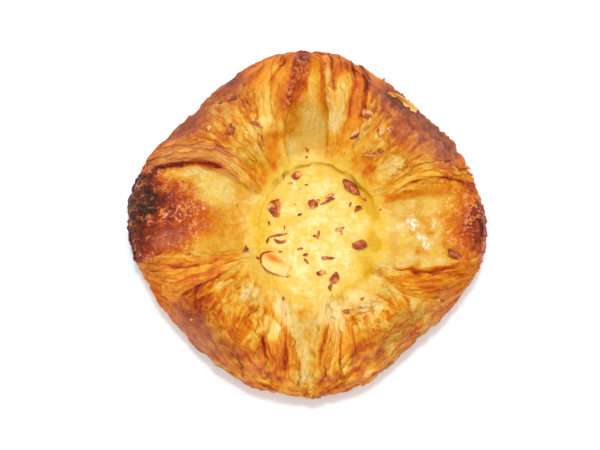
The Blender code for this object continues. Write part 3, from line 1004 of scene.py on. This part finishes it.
def egg_colour(made, mottle, fine):
    """The custard's colour from how deep its yellow is, with its grain."""
    return made.ramp(made.sum(made.field("yolk"), (mottle, 0.9), (fine, 0.8)), (
        (0, linear(236, 216, 146)),
        (0.3, linear(228, 194, 88)),
        (0.7, linear(224, 180, 48)),
        (1, linear(212, 162, 24)),
    ))


GLINT_THREAD_COLOUR = linear(252, 168, 110)
BLUSH_COLOUR = linear(184, 106, 86)
DRY_AND_HIGHLIGHT_COLOUR = linear(222, 172, 130)
BRIM_SHADE_COLOUR = linear(150, 92, 20)
MILK_GLINT_COLOUR = linear(255, 250, 222)
VALLEY_SHADE_TINT = linear(222, 214, 190)
CREASE_SHADE_TINT = linear(196, 92, 34)
COAT_TINT = linear(255, 222, 196)


def painted_glint_threads(made, place):
    """Painted glints: bright crooked threads on the glassy crust, where it is brown but not scorched."""
    bake = made.field("bake")
    browned = made.scaled(bake, 8, -2.4, clamp=True)
    broken = made.scaled(made.noise(place, 330, 2), 8, -3.8, clamp=True)
    glint_threads = made.times(made.ridges(place, 440, 8), made.times(made.field("glassy"), browned))
    return made.times(made.times(glint_threads, broken), made.scaled(bake, -4, 4.1, clamp=True))


def milky_glint_curls(made, place):
    """The small milky white curls and dots of some blisters, partly painted glints."""
    curls = made.times(made.ridges(place, 620, 8), 1.5, clamp=True)
    curls = made.math("MAXIMUM", curls, made.scaled(made.dots(place, 1150), -7, 2.6, clamp=True))
    return made.times(made.times(made.field("milk_glint"), 1.3, clamp=True), curls)


def stained(made, mottle):
    """How much of the dough's colour the egg hides: less where it is browner."""
    stain = made.scaled(mottle, 1.2, made.field("stain"), clamp=True)
    stain = made.times(stain, made.scaled(made.field("bake"), -3.4, 2.1, clamp=True))
    return made.times(stain, made.times(made.field("stain"), 3, clamp=True))


def dough_material():
    """Baked dough, coloured by how far it has baked, and changed by its fields."""
    made = Nodes("danish_baked_dough")
    place = made.place()
    flow = made.field("flow", vector=True)
    glassy, flaky = made.field("glassy"), made.field("flaky")
    speckle = made.grain(place, 900, 4)
    mottle = made.grain(place, 260, 5)
    streak = made.times(made.grain(flow, 1.3, 5, 0.65), flaky)
    strands = made.grain(made.field("strands", vector=True), 2.2, 5, 0.65)
    strands = made.times(strands, made.field("layered"))
    wrinkles = made.times(made.ridges(flow, 1, 13), flaky)
    crinkles = made.times(made.ridges(flow, 2.6, 11), flaky)
    glint_threads = painted_glint_threads(made, place)
    milk_glint = milky_glint_curls(made, place)

    bake = made.sum(made.field("bake"), (mottle, 0.22), (speckle, 0.26), (streak, 0.38))
    # Paler along the thin wrinkle and crinkle ridges: pale crinkles, and painted highlight.
    bake = made.sum(bake, (wrinkles, -0.16), (crinkles, -0.12))
    bake = made.scaled(strands, 0.75, bake, clamp=True)
    # Painted glints: paler under the threads, and blended toward bright pink-orange on them.
    colour = made.ramp(made.scaled(glint_threads, -0.22, bake, clamp=True), BAKE_COLOURS)
    colour = made.mix(made.times(glint_threads, 0.9), colour, GLINT_THREAD_COLOUR)
    colour = made.mix(made.times(made.field("blush"), 0.5), colour, BLUSH_COLOUR)
    # Matt pink crust, with the painted highlights of the grains and crumbs.
    colour = made.mix(made.times(made.field("dry_and_highlight"), made.scaled(mottle, 0.8, 0.42)), colour, DRY_AND_HIGHLIGHT_COLOUR)
    # Painted shade: the floors and the north opening multiplied darker and greyer.
    colour = made.mix(made.field("valley_shade"), colour, VALLEY_SHADE_TINT, "MULTIPLY")
    colour = made.mix(stained(made, mottle), colour, egg_colour(made, mottle, speckle))
    # Painted contact shade: a thin dark brown line where the custard meets the dough.
    colour = made.mix(made.times(made.field("brim_shade"), 0.9), colour, BRIM_SHADE_COLOUR)
    # Milky white curls and dots, partly painted glints.
    colour = made.mix(milk_glint, colour, MILK_GLINT_COLOUR)
    # Painted shade: the creases multiplied darker, in orange-brown.
    colour = made.mix(made.times(made.field("crease_shade"), 0.75), colour, CREASE_SHADE_TINT, "MULTIPLY")

    relief = made.sum(made.noise(place, 1500, 5, 0.6), (streak, 2), (strands, 2.4), (wrinkles, 0.5))
    relief = made.sum(relief, (crinkles, 0.6), (glint_threads, 0.8), (milk_glint, 0.8))
    relief = made.sum(relief, (made.dots(place, 950), made.times(glassy, -1.8)))
    wet = made.math("MAXIMUM", glassy, made.times(milk_glint, 0.8))
    made.set(
        Base_Color=colour, Roughness=made.scaled(glassy, -0.24, 0.48), Specular_IOR_Level=0.07,
        Subsurface_Weight=0.06, Subsurface_Radius=(1, 0.45, 0.18), Subsurface_Scale=0.0015,
        Coat_Weight=made.scaled(wet, 0.17, 0.04), Coat_Roughness=0.12, Coat_Tint=COAT_TINT,
        Normal=made.bump(relief, 0.8, 0.00035),
    )
    return made.material


def custard_material():
    """Baked egg custard, a little wet."""
    made = Nodes("danish_custard")
    place = made.place()
    made.set(
        Base_Color=egg_colour(made, made.grain(place, 170, 5, 0.6), made.grain(place, 900, 4)),
        Roughness=0.42, Specular_IOR_Level=0.15, Subsurface_Weight=0.2, Subsurface_Radius=(1, 0.6, 0.25),
        Subsurface_Scale=0.002, Coat_Weight=0.1, Coat_Roughness=0.2,
        Normal=made.bump(made.noise(place, 700, 5, 0.6), 0.4, 0.0003),
    )
    return made.material


# --- Pieces ---


def add_piece(name, mesh, material):
    """Puts a mesh into the scene, riding on the root body."""
    mesh.materials.append(material)
    piece = bpy.data.objects.new(name, mesh)
    bpy.context.scene.collection.objects.link(piece)
    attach(piece, "root")
    return piece


def make_crust(crust, material):
    """The whole dough, in the place of the frame's pastry."""
    mesh = closed_grid("danish_crust", crust.points, crust.fields)
    piece = add_piece("danish_crust", mesh, material)
    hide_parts("pastry")
    return piece


DROP_HEIGHT = 60  # above the pastry's highest point


def surface_of(*pieces):
    """The surface of some pieces, to be hit by rays, in millimetres."""
    vertices, faces = [], []
    for piece in pieces:
        first = len(vertices)
        vertices += [vertex.co / MM for vertex in piece.data.vertices]
        faces += [[first + corner for corner in face.vertices] for face in piece.data.polygons]
    return BVHTree.FromPolygons(vertices, faces)


def dropped(surface, x, y):
    """Where a thing let go above a point comes to lie, and the surface's direction there."""
    hit, normal, _, _ = surface.ray_cast(Vector((x, y, DROP_HEIGHT)), Vector((0, 0, -1)))
    return hit, normal


CUSTARD_GRID_COLUMNS, CUSTARD_GRID_RINGS, CUSTARD_UNDER_RINGS = 300, 90, 8
CUSTARD_THICKNESS, CUSTARD_BOWL = 2, 4  # at the pool's edge, and how much deeper it is in the middle

# How far the custard reaches, in shares of the pool's radius, at the east, north, west and south
CUSTARD_REACH = (1.14, 1.02, 1.12, 1.26)


def make_custard(crust_surface):
    """The custard's surface, which thins out over the dough around it, and its underside in the well."""
    angle = np.arange(CUSTARD_GRID_COLUMNS) * (2 * math.pi / CUSTARD_GRID_COLUMNS)
    outwards, inwards = np.linspace(0, 1, CUSTARD_GRID_RINGS), np.linspace(0.98, 0, CUSTARD_UNDER_RINGS)
    share = np.concatenate([outwards, inwards])[:, None]
    top = (np.arange(len(share)) < CUSTARD_GRID_RINGS)[:, None]
    circle = ring_coordinates(angle, 1)
    spread = around(QUARTERS, CUSTARD_REACH, angle)
    spread = spread + 0.05 * noise(circle * 2.2, 211) + 0.03 * noise(circle * 6, 212)
    spread = spread + (pool_edge(angle) - spread) * smooth(0.1, 0.5, np.sin(angle))
    share = share * spread
    radius = share * well_radius(angle)
    x, y = WELL_CENTRE[0] + radius * np.cos(angle), WELL_CENTRE[1] + radius * np.sin(angle)
    flat = on_plan(x, y)
    lumps = noises(flat, (0.22, 6, 201), (0.1, 2.4, 202), (0.035, 1, 203))
    level = CUSTARD_LEVEL + 0.1 + CUSTARD_DOME * (1 - share**2) + lumps
    middle = middle_of_base()
    for ring, column in np.argwhere(top & (share > 0.99)):
        hit, _ = dropped(crust_surface, x[ring, column] - middle[0], y[ring, column] - middle[1])
        past = (share[ring, column] - 1) / max(spread[column] - 1, 0.02)
        film = 0.1 + 0.06 * min(past, 0) - 0.4 * max(past, 0) + 0.5 * lumps[ring, column]
        cling = float(smooth(0.995, 1.015, share[ring, column]))
        level[ring, column] += cling * (hit.z + film - level[ring, column])
    under = CUSTARD_LEVEL - CUSTARD_BOWL * (1 - np.minimum(share, 1) ** 2) - CUSTARD_THICKNESS
    z = np.where(top, level, under)
    points = places(x, y, z) - middle
    mesh = closed_grid("danish_custard", points, {"yolk": yolk(x, y, share, angle + 0 * share)})
    piece = add_piece("danish_custard", mesh, custard_material())
    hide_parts("custard")
    return piece


# --- Nuts, crumbs and loose leaves of dough ---

# Nut: a chopped piece, where it lies, its length, width and height, the direction of its length in degrees,
# and how much of it is brown skin, from 0 to 1
Nut = namedtuple("Nut", "x y length width height turn skin")
NUTS = [Nut(*row) for row in (
    (-3.4, 12.5, 3.2, 2.8, 1.8, 60, 0.55), (-9.8, 2.7, 6.4, 4.6, 2.6, 68, 0.8),
    (13.8, 9.4, 7.4, 3.2, 2.4, -35, 0.85), (17.2, 5.8, 2.4, 1, 1, -60, 0.9),
    (2, 3.7, 3.4, 3, 1.6, -20, 0.35), (5.7, 4.5, 5.8, 1.1, 1, 28, 0.6), (6.9, 6.3, 3, 1.4, 1.2, 18, 0.85),
    (15.5, 2.4, 3, 1.8, 1.3, 25, 0.4), (-2.5, 0.4, 1.5, 0.9, 0.8, 10, 0.95),
    (-11.8, -2, 1.4, 0.9, 0.7, -50, 0.95), (-9.8, -6, 6.2, 0.8, 0.8, 12, 0.75),
    (-9.6, -7.7, 2.6, 1.2, 0.9, -30, 0.7), (-7.4, -7.9, 2.2, 0.9, 0.8, 15, 0.6),
    (3, -6.1, 2.8, 1, 0.9, 80, 0.8), (9.8, -4, 3.3, 1.4, 1, 14, 0.7), (14.8, -9.2, 4.8, 3.6, 2.4, 0, 0.75),
    (-0.9, -12.2, 1.8, 1, 0.8, 0, 0.85), (-0.6, -13.9, 2.2, 0.9, 0.8, -36, 0.85),
    (5.9, -13.1, 4.2, 1.2, 0.9, 2, 0.55), (3.9, -17.9, 3.2, 1.5, 1.2, 12, 0.7),
    (7.6, -19.4, 3.8, 2.8, 1.6, 50, 0.25), (6.8, -21.6, 2.8, 1.2, 1, 80, 0.3),
    (-19.1, -11, 3.2, 1.8, 1, 70, 0.5), (-15.3, -13.2, 1.4, 1.1, 0.9, -40, 0.95),
    (11.4, -31.1, 2, 1.8, 1.2, 0, 0.55), (-7.5, -25.7, 1.6, 0.9, 0.7, 75, 0.8),
    (16.1, -26.7, 1.8, 0.8, 0.7, 20, 0.85), (43.8, -11.8, 4.8, 3, 1.6, -12, 1),
    (18.5, 28.2, 4, 3, 2.2, -40, 0.85), (23.6, 42.6, 4.6, 1, 0.9, 58, 1),
    (14.8, 23.1, 4.4, 2.4, 2, 32, 0.6), (17.6, 23.8, 1.6, 1, 0.9, 10, 0.8),
    (21.8, 22.8, 3.2, 2.4, 1.6, 70, 0.3), (24.4, 23.2, 2.6, 1.8, 1.4, 30, 0.4),
    (19, 17.1, 4.6, 2, 1.5, 4, 0.15), (21.8, 17.4, 2, 1.6, 1.4, -40, 0.9),
    (-23.6, 22.3, 3.2, 2.8, 2, 20, 0.95), (-23.4, 24.6, 1.8, 1.2, 1, 70, 0.85),
    (-30.2, 24.3, 3, 2.2, 1.6, 30, 0.85), (-23, 34, 3, 2.2, 1.6, 30, 0.9),
    (-26.6, 33.1, 2.4, 1.3, 1.1, -10, 0.9), (-15.9, 25.4, 4.6, 1.3, 1.1, -35, 0.65),
    (-14, 20.6, 3.4, 0.9, 0.8, -65, 0.6), (-0.4, 21.2, 1.8, 0.9, 0.8, -60, 0.85),
    (-0.4, 18.9, 1, 0.8, 0.6, 0, 0.8), (-36.2, -12.6, 1.8, 1.2, 1, 40, 0.9),
    (-34.6, -32.7, 1.4, 1, 0.9, 0, 0.85),
)]
CRUMBS = 20  # the finest crumbs, scattered over the custard and the northern lobes
BREAKS = 9  # flat broken sides of a nut
LYING_FLAT = 0.85  # how far a small thing turns with the surface below it
NUT_LEAN = 12  # how far a nut may lean, in degrees
SUNK_SHARE = 0.22  # how deep a nut sits, as a share of its height
SHARP_ANGLE = 28  # an edge between faces that turn by more is a broken one

# Flake: a thin slice of almond, where it lies, its length and width, the direction of its length and how
# steeply it stands, in degrees
Flake = namedtuple("Flake", "x y length width turn lean")
FLAKES = (
    Flake(-8.9, -15.2, 9.4, 6.2, -28, 6),
    Flake(30, 33.9, 11, 2.6, -35, 40),
)
ALMOND_GRID = (40, 7)  # points around a slice, and from its middle to its rim


def fragment(draws, size, skin):
    """A chopped piece of nut: a lump of some size with a few flat broken sides. It gives the points, the
    faces and, for each point, whether it is brown skin, at 1, or pale flesh, at 0."""
    shape = bmesh.new()
    bmesh.ops.create_icosphere(shape, subdivisions=3, radius=1)
    points = np.array([vertex.co for vertex in shape.verts])
    faces = [[vertex.index for vertex in face.verts] for face in shape.faces]
    shape.free()
    points = points * (1 + 0.16 * noise(points * 1.2 + draws.random(3) * 50, 301)[:, None])
    browned = np.ones(len(points))
    reach_of = np.full(len(points), 1.4)
    for _ in range(BREAKS):
        facing = draws.normal(size=3)
        facing /= np.linalg.norm(facing)
        cut = draws.uniform(0.4, 0.8) / np.maximum(points @ facing, 0.05)
        browned = np.where(cut < reach_of, 0 if draws.random() > skin else 1, browned)
        reach_of = np.minimum(reach_of, cut)
    points = points * np.minimum(reach_of, 1.15)[:, None]
    points = points * (1 + 0.1 * noise(points * 3 + facing * 9, 302)[:, None])
    extent = points.max(axis=0) - points.min(axis=0)
    return points * np.array(size) / extent, faces, browned[:, None]


def laid(points, surface, x, y, turn, lean, sink):
    """Points of a small thing, laid on a surface at a place and turned, and leaning up from its length."""
    hit, normal = dropped(surface, x, y)
    upright = Vector((0, 0, 1)).slerp(normal, LYING_FLAT)
    placed = upright.to_track_quat("Z", "Y").to_matrix()
    east = placed.transposed() @ Vector((math.cos(math.radians(turn)), math.sin(math.radians(turn)), 0))
    spin = Matrix.Rotation(math.atan2(east.y, east.x), 3, "Z")
    tilt = Matrix.Rotation(math.radians(lean), 3, "X")
    frame_of = np.array(placed @ spin @ tilt)
    return points @ frame_of.T + np.array(hit + normal * sink)


def joined_mesh(name, parts):
    """One mesh of many small parts, each of them points, faces and fields."""
    faces, first = [], 0
    for points, part_faces, _ in parts:
        faces += [tuple(first + corner for corner in face) for face in part_faces]
        first += len(points)
    fields = {key: np.concatenate([part[2][key] for part in parts]) for key in parts[0][2]}
    return mesh_of(name, np.concatenate([part[0] for part in parts]), faces, fields)


def add_chips(name, parts, material):
    """A piece of nut or almond parts, whose broken edges are sharp."""
    mesh = joined_mesh(name, parts)
    mesh.set_sharp_from_angle(angle=math.radians(SHARP_ANGLE))
    add_piece(name, mesh, material)


def make_nuts(surface):
    """The chopped nuts of the table, and crumbs at random."""
    draws = np.random.default_rng(11)
    middle = middle_of_base()
    parts = []
    for nut in NUTS:
        points, faces, browned = fragment(draws, (nut.length, nut.width, nut.height), nut.skin)
        x, y, lean = nut.x - middle[0], nut.y - middle[1], draws.uniform(-NUT_LEAN, NUT_LEAN)
        placed = laid(points, surface, x, y, nut.turn, lean, SUNK_SHARE * nut.height)
        parts.append((placed, faces, {"skin": browned}))
    for _ in range(CRUMBS):
        size = draws.uniform(0.4, 1) * np.array([draws.uniform(1, 3.2), 1, 0.8])
        points, faces, browned = fragment(draws, size, 0.7)
        x, y, turn = draws.normal(0, 11), draws.normal(2, 13), draws.uniform(0, 360)
        parts.append((laid(points, surface, x, y, turn, 0, 0.1), faces, {"skin": browned}))
    add_chips("danish_nuts", parts, nut_material())


def make_almond_flakes(surface):
    """Thin slices with a browned rim that shows on one side only, as painted shade, and one broken end."""
    middle = middle_of_base()
    rounds, steps = ALMOND_GRID
    angle = np.arange(rounds) * (2 * math.pi / rounds)
    share = np.concatenate([np.linspace(0, 1, steps), np.linspace(1, 0, steps)])
    parts = []
    for number, flake in enumerate(FLAKES):
        outline = 1 + 0.1 * noise(ring_coordinates(angle, 1.3) + 9 * number, 311)
        outline = outline + 0.04 * noise(ring_coordinates(angle, 4) + 9 * number, 312)
        x = share[:, None] * np.minimum(np.cos(angle) * outline, 0.55)
        y = share[:, None] * np.sin(angle) * outline * (1 - 0.25 * np.cos(angle))
        side = np.where(np.arange(2 * steps) < steps, 1, -1)[:, None]
        thick = 0.32 * side * np.sqrt(unit(1 - share[:, None] ** 6))
        bow = 0.9 * (x**2 + y**2) + 0.12 * noise(places(x * 3, y * 3, 0 * x + number), 313)
        points = places(x * flake.length / 1.5, y * flake.width / 2, thick + bow)
        # The rim darkens on one side only: brown skin, with painted shade.
        shaded = smooth(-0.3, 0.5, np.cos(angle - 3.6))
        browned = unit((share[:, None] - 0.86) / 0.12) * shaded * (x < 0.54)
        toasted = smooth(0, 0.9, 1 - np.hypot((x + 0.4) / 0.95, (y - 0.34) / 0.62))
        browned = np.maximum(browned, 0.42 * toasted)
        faces = []
        for row, place in itertools.product(range(2 * steps - 1), range(rounds)):
            here, after = row * rounds + place, row * rounds + (place + 1) % rounds
            faces.append((here, after, after + rounds, here + rounds))
        x, y = flake.x - middle[0], flake.y - middle[1]
        placed = laid(points.reshape(-1, 3), surface, x, y, flake.turn, flake.lean, 0.2)
        parts.append((placed, faces, {"skin": browned.reshape(-1, 1)}))
    add_chips("almond_flakes", parts, almond_material())


def nut_material():
    """Brown skin and toasted flesh, with a thin gloss."""
    made = Nodes("roasted_nut")
    place = made.place()
    tone = made.scaled(made.grain(place, 1800, 4), 0.5, made.noise(place, 600, 4))
    skin = made.ramp(tone, (
        (0.24, linear(84, 24, 10)),
        (0.5, linear(164, 70, 26)),
        (0.76, linear(226, 132, 62)),
    ))
    flesh = made.ramp(tone, (
        (0.25, linear(186, 92, 28)),
        (0.5, linear(226, 152, 66)),
        (0.78, linear(248, 208, 138)),
    ))
    made.set(
        Base_Color=made.mix(made.field("skin"), flesh, skin), Roughness=0.4, Specular_IOR_Level=0.15,
        Coat_Weight=0.45, Coat_Roughness=0.16,
        Normal=made.bump(made.noise(place, 1100, 5, 0.6), 0.8, 0.0004),
    )
    return made.material


def almond_material():
    """Cream flesh, an orange blush where it has toasted, and a dark rim that is partly painted shade."""
    made = Nodes("sliced_almond")
    place = made.place()
    colour = made.ramp(made.scaled(made.grain(place, 500, 4), 0.35, made.field("skin")), (
        (0, linear(240, 204, 124)),
        (0.16, linear(234, 186, 92)),
        (0.42, linear(218, 128, 40)),
        (0.58, linear(190, 92, 26)),
        (0.9, linear(96, 38, 14)),
    ))
    made.set(
        Base_Color=colour, Roughness=0.45, Specular_IOR_Level=0.15, Subsurface_Weight=0.25,
        Subsurface_Radius=(1, 0.6, 0.3), Subsurface_Scale=0.001,
        Normal=made.bump(made.noise(place, 1400, 4, 0.6), 0.4, 0.0002),
    )
    return made.material


LEAVES = 150  # thin leaves of dough that stand off the cut edges and the lobes
LEAF_GRID = (36, 7)  # points along a leaf, and across it
LEAF_THICKNESS = 0.22
LEAF_RINGS = (WELL_RINGS + 22, WELL_RINGS + TOP_RINGS + 10)  # the rings that leaves start from
LEAF_LENGTHS, LEAF_WIDTHS = (8, 30), (3, 7)  # in rings and in columns
LEAF_LIFTS = (0.5, 1.1)


def sampled(grid, ring, column):
    """Values of a grid of rings by columns between its points. Columns close on themselves."""
    lower, before = np.floor(ring).astype(int), np.floor(column).astype(int)
    up, along = ring - lower, column - before
    if grid.ndim == 3:
        up, along = up[..., None], along[..., None]
    after = (before + 1) % COLUMNS
    before = before % COLUMNS
    near = grid[lower, before] * (1 - along) + grid[lower, after] * along
    far = grid[lower + 1, before] * (1 - along) + grid[lower + 1, after] * along
    return near * (1 - up) + far * up


def dough_leaf(crust, draws, ring, column, length, width, side):
    """A ragged strip that grows out of the dough at one long edge and stands off it at the other."""
    steps, rows = LEAF_GRID
    along = np.linspace(0, 1, steps)[:, None]
    over = np.linspace(0, 1, rows)[None, :]
    seed = draws.uniform(0, 90, 3)
    line = places(along * 5, 0 * along, 0 * along) + seed
    ragged = 1 + 0.35 * noise(line, 401) + 0.2 * noise(line * 3, 402)
    ragged = (0.55 + 0.45 * np.sin(math.pi * along) ** 0.5) * ragged
    tapered = ragged * np.sin(math.pi * np.clip(along, 0.02, 0.98)) ** 0.45
    wander = 2 * noise(line * 0.5, 403)
    rings = ring + along * length + 0 * over
    columns = column + wander + side * over * width * tapered
    points = sampled(crust.points, rings, columns)
    normals = sampled(crust.normals, rings, columns)
    lift = draws.uniform(*LEAF_LIFTS) * over**1.5 * tapered - 0.12
    top = points + normals * lift[..., None]
    bottom = top - normals * (LEAF_THICKNESS * (1 - 0.6 * over))[..., None]
    both = np.concatenate([top.reshape(-1, 3), bottom.reshape(-1, 3)])
    faces, below = [], steps * rows
    for row in range(steps - 1):
        for place in range(rows - 1):
            a = row * rows + place
            corners = (a, a + 1, a + rows + 1, a + rows)
            faces += [corners[::side], tuple(corner + below for corner in corners[::-side])]
        edge = row * rows + rows - 1
        faces.append((edge, edge + below, edge + rows + below, edge + rows)[::side])
    fields = {name: sampled(grid, rings, columns) for name, grid in crust.fields.items()}
    fields["bake"] = unit(fields["bake"] + draws.uniform(-0.12, 0.06) + 0.12 * over**3)
    # Less painted crease shade on a leaf, and none at its free edge.
    fields["crease_shade"] = 0.4 * fields["crease_shade"] * (1 - over)
    for name, values in fields.items():
        flat = values.reshape(below, -1)
        fields[name] = np.concatenate([flat, flat])
    return both, faces, fields


def make_leaves(crust, material):
    """Leaves at random places where the layers show."""
    draws = np.random.default_rng(23)
    parts = []
    while len(parts) < LEAVES:
        sector = int(draws.integers(8))
        ring = draws.uniform(*LEAF_RINGS)
        column = sector * SECTOR_COLUMNS + draws.uniform(0, SECTOR_COLUMNS)
        place = crust.across[int(ring), int(column)]
        if LAYERINGS[sector].start + 0.1 < place < LAYERINGS[sector].limit + 0.35:
            side = -1 if sector % 2 == 0 else 1
            length, width = draws.uniform(*LEAF_LENGTHS), draws.uniform(*LEAF_WIDTHS)
            parts.append(dough_leaf(crust, draws, ring, column, length, width, side))
    add_piece("dough_leaves", joined_mesh("dough_leaves", parts), material)


# --- Stage, light and camera ---

LENS, SENSOR = 85, 36
CAMERA_ELEVATION = 76
CAMERA_DISTANCE = 0.44
AIM = Vector((-0.0022, -0.0013, 0.0102))

FLOOR_COLOUR = linear(241, 248, 253)
FLOOR_SIDE, FLOOR_DROP = 4, 0.0002  # in metres, as everything here is
WHITE = (1, 1, 1, 1)
ROOM_STRENGTH = 0.92

# Lamp: a square lamp that shines at the origin, with its place, its side and its power in watts
Lamp = namedtuple("Lamp", "name place side power")
LAMPS = (Lamp("key", (-0.005, 0.04, 0.72), 0.07, 1.6), Lamp("broad", (-0.005, 0.03, 0.72), 0.26, 0.6))


def make_floor():
    """The photo's plain pale ground, staged just below the base."""
    bpy.ops.mesh.primitive_plane_add(size=FLOOR_SIDE, location=(0, 0, -FLOOR_DROP))
    floor = bpy.context.object
    floor.name = "pale_floor"
    made = Nodes("pale_floor")
    made.set(Base_Color=FLOOR_COLOUR, Roughness=0.9, Emission_Color=WHITE, Emission_Strength=0.05)
    floor.data.materials.append(made.material)


def make_light():
    """A bright even room and two lamps overhead."""
    world = bpy.data.worlds.new("soft_room")
    world.use_nodes = True
    background = world.node_tree.nodes["Background"]
    background.inputs["Color"].default_value = WHITE
    background.inputs["Strength"].default_value = ROOM_STRENGTH
    bpy.context.scene.world = world
    for name, place, side, power in LAMPS:
        data = bpy.data.lights.new(name, "AREA")
        data.size, data.energy = side, power
        lamp = bpy.data.objects.new(name, data)
        lamp.location = place
        lamp.rotation_euler = (-Vector(place)).to_track_quat("-Z", "Y").to_euler()
        bpy.context.scene.collection.objects.link(lamp)
    bpy.context.scene.view_settings.view_transform = "Standard"


def make_camera():
    """The photo's camera: high in front of the pastry, and looking at its middle."""
    data = bpy.data.cameras.new("camera")
    data.lens, data.sensor_width = LENS, SENSOR
    camera = bpy.data.objects.new("camera", data)
    elevation = math.radians(CAMERA_ELEVATION)
    back = Vector((0, -math.cos(elevation), math.sin(elevation)))
    camera.location = AIM + back * CAMERA_DISTANCE
    camera.rotation_euler = (-back).to_track_quat("-Z", "Y").to_euler()
    bpy.context.scene.collection.objects.link(camera)
    bpy.context.scene.camera = camera


make_floor()
make_light()
make_camera()
crust_form = shaped_dough()
baked_dough = dough_material()
crust = make_crust(crust_form, baked_dough)
custard = make_custard(surface_of(crust))
make_leaves(crust_form, baked_dough)
top_surface = surface_of(crust, custard)
make_nuts(top_surface)
make_almond_flakes(top_surface)
